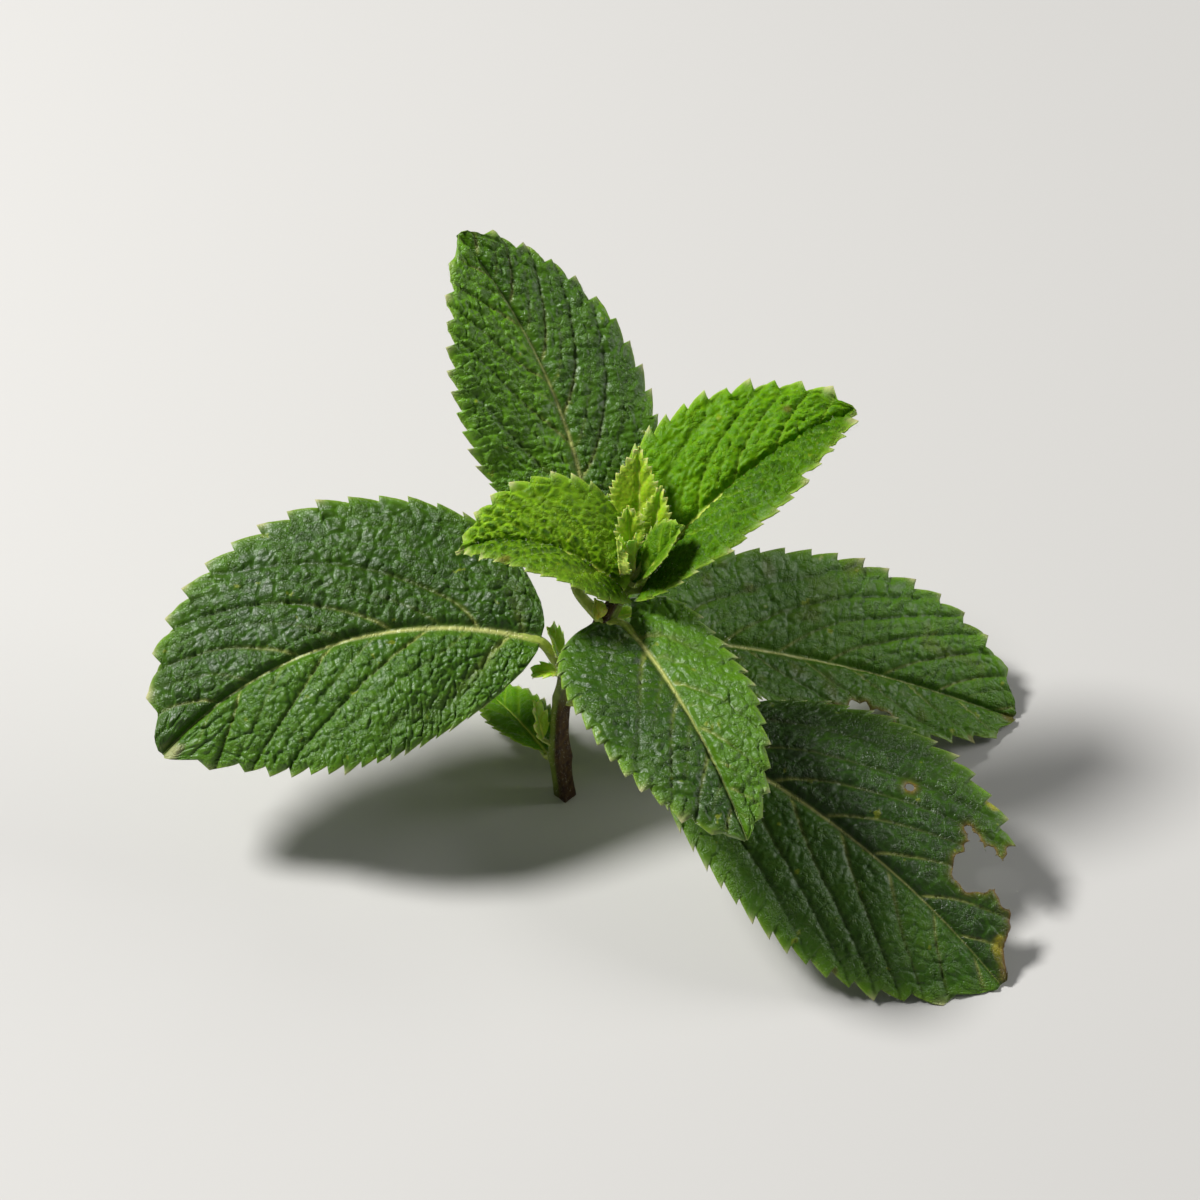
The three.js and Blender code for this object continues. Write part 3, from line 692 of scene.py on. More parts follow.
def side_veins(blade, at):
    """How much each point is on a side vein, and how far it is up the bulge between two of them.

    Side veins leave the midrib at a slant and bend forward. Each point belongs to the place on the midrib
    that its side vein would come from, and strong and weak side veins leave it by turns.
    """
    widest = blade.width / 2
    u = at.y / widest
    forward = widest * (SLANT * u + BEND * u * u)
    behind = at.x - forward
    origin = (behind + np.sqrt(behind * behind + 4 * BASAL_SPREAD * forward)) / 2
    steep = np.sqrt(1 + (SLANT + 2 * BEND * u) ** 2)
    wander = WANDER * blade.noise("wander", at.x / WANDER_SIZE, at.signed / WANDER_SIZE)
    strong = origin / blade.spacing + STAGGER * at.side + blade.offset + wander
    weak = strong + 0.5
    off_strong, off_weak = (np.abs(p - np.round(p)) * blade.spacing / steep for p in (strong, weak))
    lead = ease(at.y, 0.15, 0.8) * ease(origin, 0.5, 2.5)
    strong_line = lead * (1 - STRONG_FADES * at.outward ** 3)
    weak_line = lead * blade.weak * (1 - WEAK_FADES * at.outward ** 2)
    width = SIDE_VEIN_WIDTH + SIDE_VEIN_SWELL * at.taper
    lines = np.maximum(ridge(off_strong, width) * strong_line, ridge(off_weak, width) * weak_line)
    weak_groove = (0.2 + 0.4 * blade.weak) * fade(off_weak, WEAK_GROOVE)
    quilt = np.minimum(1 - fade(off_strong, STRONG_GROOVE), 1 - weak_groove)
    return lines, quilt


def pockets(blade, at):
    """Pockets in two sizes, each with a flat, slightly slanted top and a narrow groove round it."""
    size = blade.cell
    small = size * FINE_POCKET
    x, y = at.x / size, at.signed / size
    bend_x = POCKET_BEND * blade.noise("bend_along", x, y)
    bend_y = POCKET_BEND * blade.noise("bend_across", x + 9, y)
    wall, tone, slant = cells(x + bend_x, y + bend_y, blade.seed_for("pocket"))
    fine_x, fine_y = at.x / small + bend_x / FINE_POCKET, at.signed / small + bend_y / FINE_POCKET
    fine_wall, _, fine_slant = cells(fine_x, fine_y, blade.seed_for("fine_pocket"))
    return SimpleNamespace(
        wall=wall * size, tone=tone, slant=slant, fine_slant=fine_slant,
        top=ease(wall * size, 0.0, GROOVE), dimple=ease(fine_wall * small, 0.0, FINE_GROOVE * GROOVE),
    )


def surface_height(blade, at, quilt, cell, valley):
    """How high the upper face stands, in millimetres."""
    near_mid = 1 - VALLEY_FLATTENS * valley
    flat = (1 - MARGIN_FLATTENS * ease(at.outward, 0.9, 1.0)) * near_mid
    creases = np.abs(blade.noise("crease", at.x / 1.3, at.signed / 1.3)) + 0.6 * np.abs(
        blade.noise("fine_crease", at.x / 0.7, at.signed / 0.7)
    )
    crumpled = ease(blade.noise("crumple", at.x / 6, at.signed / 6), -0.5, 0.5)
    sway = blade.noise("sway", at.x / 11, at.signed / 9)
    ripple = blade.noise("ripple", at.x / 4.5, at.side * 7.3) * at.outward ** 4
    raised = HEIGHT.pocket + HEIGHT.crumpled * crumpled
    raised = raised + HEIGHT.slant * cell.slant + HEIGHT.tone * (cell.tone - 0.5)
    return HEIGHT.quilt * blade.veined * quilt * near_mid + blade.relief * (
        flat * cell.top * raised
        + flat * (HEIGHT.dimple * cell.dimple + HEIGHT.fine_slant * cell.fine_slant * cell.dimple)
        + flat * HEIGHT.crease * creases * (0.4 + 0.6 * crumpled)
        - HEIGHT.side_vein * at.secondary
        + HEIGHT.midrib * at.midrib
        - HEIGHT.valley * valley
        + HEIGHT.sway * sway * at.outward
        + HEIGHT.ripple * ripple
    )


def venation(blade, s, share):
    """The blade's places with their veins and pockets, from 0 to 1, and the height of the surface."""
    at = places(blade, s, share)
    at.secondary, quilt = side_veins(blade, at)
    cell = pockets(blade, at)
    mid_width = (0.1 + 0.34 * at.taper ** 1.6) * (0.5 + 0.45 * (blade.width / 2) / WIDE_BLADE)
    at.midrib = ridge(at.y, mid_width)
    valley = ridge(at.y, 2.6 * mid_width + 0.3)
    at.tertiary = ridge(cell.wall, WALL_WIDTH) * (1 - at.secondary)
    at.tone = cell.tone
    at.pocket = cell.top * (0.55 + 0.45 * cell.dimple)
    at.height = surface_height(blade, at, quilt, cell, valley)
    return at


# ---- a leaf's blade
def cut_distance(blade, s, across):
    """Distance outside the nearest cut, in millimetres, and the direction away from it."""
    nearest = np.full(s.shape, FAR)
    ds = np.zeros(s.shape)
    dy = np.zeros(s.shape)
    for along, offset, radius in blade.bites:
        x, y = (s - along) * blade.length, across - offset
        away = np.hypot(x, y) + TINY
        ragged = radius * (1 + CUT_RAGGED * np.sin(CUT_WAVES * np.arctan2(y, x) + 20 * along))
        closer = away - ragged < nearest
        nearest = np.where(closer, away - ragged, nearest)
        ds = np.where(closer, x / away, ds)
        dy = np.where(closer, y / away, dy)
    return nearest, ds, dy


def grid_stations(blade, spacing):
    """Stations of the surface grid, with one on each tooth's point."""
    toothed = LAST_TOOTH - FIRST_TOOTH
    per_tooth = max(round(toothed / blade.teeth * blade.length / spacing / CREST_STEPS), 1) * CREST_STEPS
    turns = np.linspace(0, 1, per_tooth * blade.teeth, endpoint=False)
    before = max(round((FIRST_TOOTH - BLADE_START) * blade.length / spacing), 2)
    after = max(round((BLADE_END - LAST_TOOTH) * blade.length / spacing), 2)
    return np.concatenate([
        np.linspace(BLADE_START, FIRST_TOOTH, before, endpoint=False),
        FIRST_TOOTH + toothed * turns ** (1 / CROWDING),
        np.linspace(LAST_TOOTH, BLADE_END, after + 1),
    ])


def blade_grid(blade, spacing):
    """Stations and shares of the surface grid, moved onto the cuts' edges, and which points are kept."""
    stations = grid_stations(blade, spacing)
    columns = 2 * max(int(blade.width / 2 / spacing), 5) + 1
    s, share = np.meshgrid(stations, np.linspace(-1, 1, columns), indexing="ij")
    s, share = s.ravel(), share.ravel()
    half = blade.half_width(s, np.where(share < 0, -1.0, 1.0))
    across = share * half
    gap, ds, dy = cut_distance(blade, s, across)
    kept = gap > -CUT_SNAP * spacing
    onto = (gap < 0) & kept
    s = np.where(onto, s - gap * ds / blade.length, s)
    share = np.where(onto, np.clip((across - gap * dy) / half, -1, 1), share)
    return s, share, kept.reshape(len(stations), columns)


def attached(whole):
    """The squares of the surface grid that hang together with those at the blade's base."""
    reached = np.zeros_like(whole)
    reached[0] = whole[0]
    before = 0
    while reached.sum() > before:
        before = reached.sum()
        reached[1:] |= reached[:-1] & whole[1:]
        reached[:-1] |= reached[1:] & whole[:-1]
        reached[:, 1:] |= reached[:, :-1] & whole[:, 1:]
        reached[:, :-1] |= reached[:, 1:] & whole[:, :-1]
    return reached


def sheet_faces(kept):
    """Faces of a sheet's two sides and of the walls round its edge; the lower side's points come second."""
    count = kept.size
    index = np.arange(count).reshape(kept.shape)
    whole = kept[:-1, :-1] & kept[1:, :-1] & kept[1:, 1:] & kept[:-1, 1:]
    corners = np.stack([index[:-1, :-1], index[1:, :-1], index[1:, 1:], index[:-1, 1:]], -1)
    quads = corners[attached(whole)]
    edges = np.vstack([quads[:, [i, (i + 1) % 4]] for i in range(4)])
    keys = edges[:, 0] * count + edges[:, 1]
    backwards = edges[:, 1] * count + edges[:, 0]
    rim = edges[~np.isin(keys, backwards)]
    walls = np.stack([rim[:, 1], rim[:, 0], rim[:, 0] + count, rim[:, 1] + count], -1)
    return np.vstack([quads, quads[:, ::-1] + count, walls])


def rib_depth(blade, at):
    """How far the midrib and the veins stand out below the blade."""
    width = (0.25 + 0.55 * (1 - at.s)) * blade.stalk
    rib = MIDRIB_DEPTH * blade.stalk * (1 - at.s) ** 0.8 * ridge(at.y, width)
    return rib + RIB_DEPTH * blade.relief * at.secondary + NET_DEPTH * blade.relief * at.tertiary


def blade_part(blade):
    """The blade as a closed thin mesh with its colour fields."""
    s, share, kept = blade_grid(blade, blade.grid())
    at = venation(blade, s, share)
    middle, normal = blade.place(s, share, at.height)
    edge = (1 - np.abs(share)) * at.half
    gap = np.maximum(cut_distance(blade, s, share * at.half)[0], 0)
    thin = EDGE_THICKNESS + (1 - EDGE_THICKNESS) * ease(np.minimum(edge, gap), 0, 0.5)
    thickness = BLADE_THICKNESS * thin * blade.thick
    top = middle + normal * (thickness / 2)[:, None]
    under = middle - normal * (thickness / 2 + rib_depth(blade, at))[:, None]
    sunk = np.maximum(LOWEST - np.minimum(under[:, 2], top[:, 2]), 0)
    top[:, 2] += sunk
    under[:, 2] += sunk
    faces = sheet_faces(kept)
    used, order = np.unique(faces, return_inverse=True)
    parts = {name: np.tile(values, 2)[used] for name, values in blade_colours(blade, at, edge, gap).items()}
    parts["under"] = np.repeat([0.0, 1.0], len(s))[used]
    fields = colour_fields(len(used), LEAF_FIELDS, parts)
    return np.vstack([top, under])[used], order.reshape(faces.shape).tolist(), fields


def mark_field(blade, at, kind):
    """How strongly each point is marked by the leaf's brown, yellow or pale places, from 0 to 1."""
    field = np.zeros_like(at.s)
    for along, offset, radius, its_kind in MARKS.get(blade.name, []):
        if its_kind == kind:
            away = np.hypot((at.s - along) * blade.length, at.signed - offset)
            rough = 0.3 * blade.noise("mark", at.x / MARK_GRAIN, at.signed / MARK_GRAIN)
            field = np.maximum(field, 1 - ease(away / radius + rough, 0.5, 1.2))
    return field


def blade_colours(blade, at, edge, gap):
    """Veins, margins, shares of tones, of painted light and of painted shade, and stains, as the numbers that
    LEAF_FIELDS names.
    """
    net = of_side(blade.net, at.side)
    stain = ease(blade.noise("stain", at.x / STAIN_SIZE, at.signed / STAIN_SIZE), 0.45, 0.9)
    return dict(
        midrib=at.midrib,
        secondary=at.secondary,
        tertiary=at.tertiary * (1 - net),
        net=at.tertiary * net,
        rim=fade(edge, RIM_WIDTH),
        tips=ease(blade.tooth(at.s, at.side), 0.75, 1.15) * fade(edge, TIP_WIDTH),
        burnt=fade(gap, RIM_WIDTH),
        pocket=at.pocket,
        # a deeper green, mostly painted shade on whole leaves or halves
        dark=of_side(blade.dark, at.side),
        lime=of_side(blade.lime, at.side),
        inward=blade.margin * fade(edge, MARGIN_BAND * blade.width),
        tone=at.tone,
        stain=stain * blade.brown,
        near=fade(at.y, blade.pale * blade.width),
        station=at.s,
        # painted light on whole leaves or halves
        light=of_side(blade.light, at.side),
        brown=mark_field(blade, at, "brown"),
        yellow=np.maximum(mark_field(blade, at, "yellow"), 0.4 * fade(gap, 0.4)),
        pale=mark_field(blade, at, "pale"),
    )


# ---- stalks
def nearest_on_stem(point):
    line = catmull_rom([at for at, _ in STEM], np.linspace(0, 1, 200))
    return line[np.argmin(np.linalg.norm(line - point, axis=1))]


def stalk_part(blade):
    """The stalk from inside the stem to under the blade, round below and grooved on top."""
    sunk = -blade.stalk / 2
    _, _, up = blade.axes(np.array(STALK_END))
    under, inside = blade.centre(np.array(STALK_END))
    joint, base = np.array(blade.joint, float), np.array(blade.base, float)
    via = np.array(blade.via, float) if blade.via else (joint + base) / 2
    stops = [joint, via, base + up[0] * sunk, under + up[0] * sunk, inside + up[1] * sunk * 1.2]
    if blade.kind == "young":
        stops.insert(0, nearest_on_stem(joint))
    shares = np.linspace(0, 1, STALK_RINGS)
    path = catmull_rom(stops, shares)
    heading = unit(np.gradient(path, axis=0))
    side = unit(np.cross(heading, up[0]))
    angle = ring_angles(STALK_SIDES)
    groove = 1 - 0.3 * ridge(angle - math.pi / 2, 0.45)
    swell = 1 + 0.35 * ridge(shares, 0.12) - 0.75 * ease(shares, 0.7, 1.0)
    radius = blade.stalk * STALK_RADIUS * swell[:, None] * groove[None]
    points = ring_points(path, side, np.cross(side, heading), radius, angle, STALK_OVAL)
    lower = np.tile(-np.sin(angle), STALK_RINGS)
    # the darker red on the lower side is partly the stalk's own red and partly painted shade
    fields = colour_fields(len(points), STEM_FIELDS, dict(purple=blade.red * ease(lower, -0.2, 0.8)))
    outward = unit(points - np.repeat(path, STALK_SIDES, axis=0))
    return points, tube_faces(STALK_RINGS, STALK_SIDES), fields, outward


# ---- the stem
def stem_purple(level, around, foot):
    """How purple the stem is: on its right low down, where the darker purple is partly the stem's own colour
    and partly painted shade, on its left higher up, and at the foot.
    """
    low = ease(np.cos(around - math.radians(-45)), -0.3, 0.4) * ease(24 - level, 0, 6)
    high = ease(np.cos(around - math.radians(-150)), 0.1, 0.6) * ease(level, 20, 26)
    return np.clip(low + high + 0.6 * foot, 0, 1) * (1 - ease(level, 38.5, 40))


def stem_part():
    """The square stem with ridged corners, swollen nodes and a clean cut across its foot."""
    centres, right, up, angle, reach = stem_rings(STEM_STEPS, STEM_SIDES, SQUARENESS)
    z = centres[:, 2]
    level = np.repeat(z, STEM_SIDES)
    around = np.tile(angle, STEM_STEPS + 1)
    streak = noise(around * 6, level / 5, STREAK_SEED).reshape(reach.shape)
    knot = noise(around * 3, level / 0.8, KNOT_SEED).reshape(reach.shape)
    hollow = 1 - 0.05 * np.cos(4 * angle + math.pi)
    swell = np.ones(STEM_STEPS + 1)
    for _, _, height in NODES.values():
        swell += NODE_SWELL * ridge(z - height, NODE_LENGTH)
    reach = reach * hollow[None] * swell[:, None] + 0.03 * streak + 0.02 * knot
    reach[-1] *= 0.3
    reach[-2] *= 0.75
    points = ring_points(centres, right, up, reach, angle)
    foot = fade(level, FOOT_BROWN_REACH)
    fields = colour_fields(len(points), STEM_FIELDS, dict(
        purple=stem_purple(level, around, foot), ridge=1 - from_corner(around) / CORNER,
        level=level / STEM_HEIGHT, foot=foot,
    ))
    faces = tube_faces(STEM_STEPS + 1, STEM_SIDES, cap_start=False)
    return points, faces, fields, centres, right, up, angle, reach


def cut_end_part(centres, right, up, angle, reach):
    """The cut across the foot: a rind, a ring of wood and pale pith, sunk a little at the middle."""
    rings = []
    for share, depth in CUT_RINGS:
        ring = ring_points(centres[:1], right[:1], up[:1], reach[:1] * share, angle)
        ring[:, 2] = depth
        rings.append(ring)
    points = np.vstack(rings)
    out = np.repeat([share for share, _ in CUT_RINGS], len(angle))
    faces = [face[::-1] for face in tube_faces(len(rings), len(angle), cap_start=False)]
    return points, faces, colour_fields(len(points), STEM_FIELDS, dict(level=out))


# ---- hairs
def spikes(roots, directions, lengths, radius):
    """Closed three-sided hairs, as one list of points and faces."""
    directions = unit(directions)
    helper = np.where(np.abs(directions[:, :1]) < 0.9, [[1.0, 0, 0]], [[0, 1.0, 0]])
    a = unit(np.cross(directions, helper))
    b = np.cross(directions, a)
    turns = np.arange(3) * 2 * math.pi / 3
    ring = [roots + radius * (a * math.cos(t) + b * math.sin(t)) for t in turns]
    tip = roots + directions * lengths[:, None]
    points = np.stack([*ring, tip], 1).reshape(-1, 3)
    first = np.arange(len(roots))[:, None] * 4
    faces = np.concatenate([first + [0, 1, 3], first + [1, 2, 3], first + [2, 0, 3], first + [2, 1, 0]])
    return points, faces.tolist()


def hairs_part(points, outward, count, length, radius, lean, seed):
    """Short hairs standing on a surface, leaning by the vector lean."""
    picks = (scatter(np.arange(count), np.zeros(count), seed) * (len(points) - 1)).astype(int)
    rough = np.stack([scatter(np.arange(count), np.full(count, i), seed + 1) for i in (1, 2, 3)], -1) - 0.5
    lengths = length * (0.5 + scatter(np.arange(count), np.full(count, 4), seed + 1))
    directions = outward[picks] + np.array(lean) + HAIR_DISORDER * rough
    roots = points[picks] - HAIR_ROOT * outward[picks]
    hair_points, faces = spikes(roots, directions, lengths, radius)
    hair_points[:, 2] = np.maximum(hair_points[:, 2], LOWEST)
    return hair_points, faces


def margin_hairs(blade):
    """Fine pale hairs along the margins."""
    turn = np.arange(blade.hairs)
    s = 0.02 + 0.96 * scatter(turn, np.zeros(blade.hairs), blade.seed_for("margin_hair"))
    share = np.where(turn % 2, 1.0, -1.0)
    edge, normal = blade.place(s, share, np.zeros(blade.hairs))
    inside, _ = blade.place(s, 0.9 * share, np.zeros(blade.hairs))
    outward = unit(edge - inside) + 0.4 * normal
    return hairs_part(edge, outward, blade.hairs, **LEAF_HAIR, seed=blade.seed_for("margin_pick"))


def surface_hairs(blade):
    """Sparse short down on the upper face."""
    turn = np.arange(blade.down)
    s = 0.03 + 0.9 * scatter(turn, np.zeros(blade.down), blade.seed_for("down"))
    share = 1.8 * scatter(turn, np.ones(blade.down), blade.seed_for("down")) - 0.9
    raised = venation(blade, s, share).height + BLADE_THICKNESS / 2
    roots, outward = blade.place(s, share, raised)
    return hairs_part(roots, outward, blade.down, **DOWN, seed=blade.seed_for("down_pick"))


def leaf_hairs(blade, stalk_points, stalk_outward):
    """The hairs of a leaf and of its stalk, as parts of its mesh."""
    on_stalk = hairs_part(
        stalk_points, stalk_outward, blade.hairs // 2, **LEAF_HAIR, seed=blade.seed_for("stalk_hair")
    )
    groups = [margin_hairs(blade), on_stalk]
    if blade.down:
        groups.append(surface_hairs(blade))
    return [(points, faces, colour_fields(len(points)), HAIR_SLOT) for points, faces in groups]


# ---- materials
class Shader:
    """A material's node tree, built up one node at a time."""

    def __init__(self, name):
        self.material = bpy.data.materials.new(name)
        self.material.use_nodes = True
        self.tree = self.material.node_tree
        self.tree.nodes.clear()
        self.output = self.tree.nodes.new("ShaderNodeOutputMaterial")
        self.surface = self.tree.nodes.new("ShaderNodeBsdfPrincipled")
        self.tree.links.new(self.surface.outputs[0], self.output.inputs[0])
        self.place = self.tree.nodes.new("ShaderNodeTexCoord").outputs["Object"]

    def feed(self, socket, value):
        """Links a socket to a node's output, or sets it to a constant."""
        if isinstance(value, bpy.types.NodeSocket):
            self.tree.links.new(value, socket)
        else:
            socket.default_value = value

    def node(self, kind, output, inputs, **settings):
        """Adds a node, with its settings and inputs, and gives one of its outputs."""
        node = self.tree.nodes.new("ShaderNode" + kind)
        for name, setting in settings.items():
            setattr(node, name, setting)
        for socket, value in inputs.items():
            self.feed(node.inputs[socket], value)
        return node.outputs[output]

    def parts(self, layout):
        """The numbers that the points carry, under the names that the layout gives them."""
        parts = {}
        for field, names in layout.items():
            colour = self.node("Attribute", "Color", {}, attribute_name=field)
            alpha = colour.node.outputs["Alpha"]
            split = self.node("SeparateColor", 0, {0: colour}).node
            parts.update(zip(names, [*split.outputs[:3], alpha]))
        return SimpleNamespace(**parts)

    def maths(self, operation, a, b, clamp=False):
        return self.node("Math", 0, {0: a, 1: b}, operation=operation, use_clamp=clamp)

    def times(self, a, b):
        return self.maths("MULTIPLY", a, b, clamp=True)

    def mix(self, share, a, b):
        return self.node("Mix", 2, {"Factor": share, 6: a, 7: b}, data_type="RGBA")

    def coats(self, colour, *coats):
        """Lays coats over a colour in order: each has where it lies, how strong it is and its colour."""
        for share, strength, tone in coats:
            colour = self.mix(self.times(share, strength), colour, tone)
        return colour

    def grain(self, millimetres, detail=2.0, roughness=0.5):
        """Noise from 0 to 1 whose features are about this many millimetres across."""
        scale = 1 / (millimetres * MM)
        inputs = {"Vector": self.place, "Scale": scale, "Detail": detail, "Roughness": roughness}
        return self.node("TexNoise", "Fac", inputs)

    def cracks(self, millimetres):
        """Distance from the walls of cells about this many millimetres across, 0 on a wall."""
        inputs = {"Vector": self.place, "Scale": 1 / (millimetres * MM)}
        return self.node("TexVoronoi", "Distance", inputs, feature="DISTANCE_TO_EDGE")

    def spread(self, value, low, high, to_low=0.0, to_high=1.0):
        """Brings values from low to high into another range."""
        return self.node("MapRange", 0, dict(enumerate((value, low, high, to_low, to_high))))

    def bump(self, height, millimetres, strength=1.0):
        inputs = {"Strength": strength, "Distance": millimetres * MM, "Height": height}
        self.feed(self.surface.inputs["Normal"], self.node("Bump", 0, inputs))

    def set(self, **values):
        for name, value in values.items():
            self.feed(self.surface.inputs[name.replace("_", " ").title().replace("Ior", "IOR")], value)


def rgb(red, green, blue):
    """A colour given in the 0 to 255 numbers of a screen."""
    return (*[(c / 255) ** 2.2 for c in (red, green, blue)], 1.0)


# A leaf's colours, how much light passes into it (glow), how glossy it is and how deep its fine creases are.
# One green lays painted light, and one dark green lays painted shade in the creases and the side veins'
# grooves.
LEAF_TONES = {
    "mature": dict(
        painted_light_green=rgb(98, 144, 28), deep=rgb(38, 70, 6), light=rgb(74, 110, 20), lime=rgb(106, 156, 14),
        vein=rgb(196, 198, 116), groove=rgb(54, 104, 2), margin=rgb(138, 170, 60), under=rgb(112, 142, 84),
        painted_crease_shade=rgb(26, 46, 8), side=rgb(190, 196, 104), net=rgb(102, 156, 16),
        glow=0.0, gloss=0.44, creases=0.065,
    ),
    "fresh": dict(
        painted_light_green=rgb(112, 162, 32), deep=rgb(46, 88, 4), light=rgb(78, 130, 16), lime=rgb(118, 166, 6),
        vein=rgb(196, 210, 90), groove=rgb(88, 148, 2), margin=rgb(166, 196, 74), under=rgb(136, 168, 80),
        painted_crease_shade=rgb(38, 82, 4), side=rgb(156, 196, 50), net=rgb(150, 196, 36),
        glow=0.25, gloss=0.12, creases=0.065,
    ),
    "young": dict(
        painted_light_green=rgb(202, 222, 70), deep=rgb(148, 192, 18), light=rgb(172, 210, 40), lime=rgb(196, 222, 60),
        vein=rgb(210, 222, 100), groove=rgb(156, 196, 20), margin=rgb(208, 220, 110), under=rgb(168, 194, 80),
        painted_crease_shade=rgb(104, 150, 14), side=rgb(196, 216, 70), net=rgb(206, 224, 80),
        glow=0.5, gloss=0.35, creases=0.04,
    ),
}
# the deeper green that the darker share lays, mostly painted shade
DEEP_SHADE = rgb(28, 46, 10)
BROWN = rgb(112, 84, 46)
YELLOW = rgb(196, 176, 52)
TIP_PALE = rgb(206, 196, 150)
SPOT = rgb(150, 160, 40)
STALK_SHADED, STALK_PALE, STALK_RED = rgb(136, 160, 56), rgb(178, 192, 92), rgb(92, 58, 44)
STEM_DEEP, STEM_GREEN, STEM_RIDGE = rgb(82, 104, 24), rgb(116, 136, 48), rgb(132, 144, 70)
STEM_TOP, STEM_FOOT = rgb(140, 160, 50), rgb(74, 50, 36)
PURPLE_DEEP, PURPLE_BROWN = rgb(34, 8, 8), rgb(74, 28, 20)
PITH, DRY_PITH, RIND = rgb(196, 196, 150), rgb(216, 214, 178), rgb(128, 142, 78)
HAIR, PALE_HAIR = rgb(206, 210, 188), rgb(228, 228, 214)
FLOOR_SHADED, FLOOR_PALE = rgb(196, 194, 190), rgb(200, 198, 194)


def leaf_bump(shader, height):
    """Fine creases and a faint granular skin, in millimetres of height."""
    creases = shader.spread(shader.cracks(0.75), 0.0, 0.14)
    small = shader.spread(shader.cracks(0.4), 0.0, 0.16)
    patches = shader.spread(shader.grain(3.0), 0.4, 0.6, 0.25, 1.0)
    both = shader.maths("ADD", creases, shader.maths("MULTIPLY", small, 0.5))
    relief = shader.maths("MULTIPLY", both, patches)
    fine = shader.maths("MULTIPLY", shader.grain(0.14), 0.4)
    skin = shader.maths("ADD", shader.grain(0.35, 3.0, 0.6), fine)
    shader.bump(shader.maths("ADD", relief, shader.maths("MULTIPLY", skin, 0.35)), height)


def upper_colour(shader, part, tones, speckle):
    """The upper face: clouded green, painted light and shade on whole leaves or halves, the pockets' grooves
    and tops with painted shade in their creases, then veins with painted shade along the side veins, margins,
    stains and marks.
    """
    cloud = shader.spread(shader.grain(6.0, 3.0), 0.3, 0.7)
    spots = shader.spread(shader.grain(2.2, 2.0), 0.7, 0.76)
    groove = shader.maths("SUBTRACT", 1.0, part.pocket)
    scorched = shader.maths("MAXIMUM", shader.times(part.burnt, 0.9), shader.times(part.brown, 0.55))
    return shader.coats(
        shader.mix(cloud, tones["deep"], tones["light"]),
        (part.tone, 0.4, tones["light"]),
        (speckle, 0.25, tones["deep"]),
        # painted light on whole leaves or halves
        (part.light, 0.6, tones["painted_light_green"]),
        # a deeper green, mostly painted shade on whole leaves or halves
        (part.dark, 0.6, DEEP_SHADE),
        (groove, shader.spread(part.dark, 0, 1, 0.6, 0.3), tones["groove"]),
        # painted shade in the creases round the pockets
        (part.tertiary, 0.5, tones["painted_crease_shade"]),
        (part.net, shader.spread(cloud, 0, 1, 0.3, 0.75), tones["net"]),
        (part.lime, shader.spread(part.pocket, 0, 1, 1, 0.6), tones["lime"]),
        (part.inward, shader.spread(cloud, 0, 1, 0.15, 0.5), tones["lime"]),
        (spots, 0.5, SPOT),
        # painted shade in the side veins' grooves
        (part.secondary, 0.35, tones["painted_crease_shade"]),
        (part.secondary, shader.times(part.near, 0.7), tones["side"]),
        (part.midrib, shader.spread(part.station, 0.35, 0.95, 1, 0.25), tones["vein"]),
        (part.rim, 0.7, tones["margin"]),
        (part.tips, 0.8, TIP_PALE),
        (part.stain, 0.5, BROWN),
        (part.yellow, 0.45, YELLOW),
        (part.pale, 0.45, TIP_PALE),
        (scorched, 1.0, BROWN),
    )


def leaf_material(kind):
    """Blade colour from the numbers on its points: the upper face, and the paler underside with its veins."""
    tones = LEAF_TONES[kind]
    shader = Shader(kind + "_leaf")
    part = shader.parts(LEAF_FIELDS)
    speckle = shader.spread(shader.grain(0.4, 3.0, 0.65), 0.35, 0.75)
    above = upper_colour(shader, part, tones, speckle)
    ribs = shader.maths("MAXIMUM", part.midrib, shader.times(part.secondary, 0.7))
    beneath = shader.coats(tones["under"], (part.tertiary, 0.4, tones["vein"]), (ribs, 1.0, tones["vein"]))
    rough = shader.maths("MAXIMUM", shader.spread(speckle, 0, 1, 0.36, 0.5), shader.times(part.under, 0.72))
    leaf_bump(shader, tones["creases"])
    shader.set(
        base_color=shader.mix(part.under, above, beneath), roughness=rough, specular_ior_level=tones["gloss"],
        subsurface_weight=tones["glow"], subsurface_radius=(0.35, 1.0, 0.12), subsurface_scale=0.5 * MM,
    )
    return shader.material


def stalk_material():
    """Stalk colour: pale yellow-green above, browner and redder on its lower side, partly its own red and
    partly painted shade.
    """
    shader = Shader("stalk")
    streak = shader.spread(shader.grain(0.6, 3.0), 0.3, 0.7)
    green = shader.mix(streak, STALK_SHADED, STALK_PALE)
    colour = shader.coats(green, (shader.parts(STEM_FIELDS).purple, 0.75, STALK_RED))
    shader.bump(shader.grain(0.25, 3.0), 0.08, 0.6)
    shader.set(
        base_color=colour, roughness=0.42, subsurface_weight=0.2,
        subsurface_radius=(0.5, 1.0, 0.2), subsurface_scale=0.6 * MM,
    )
    return shader.material


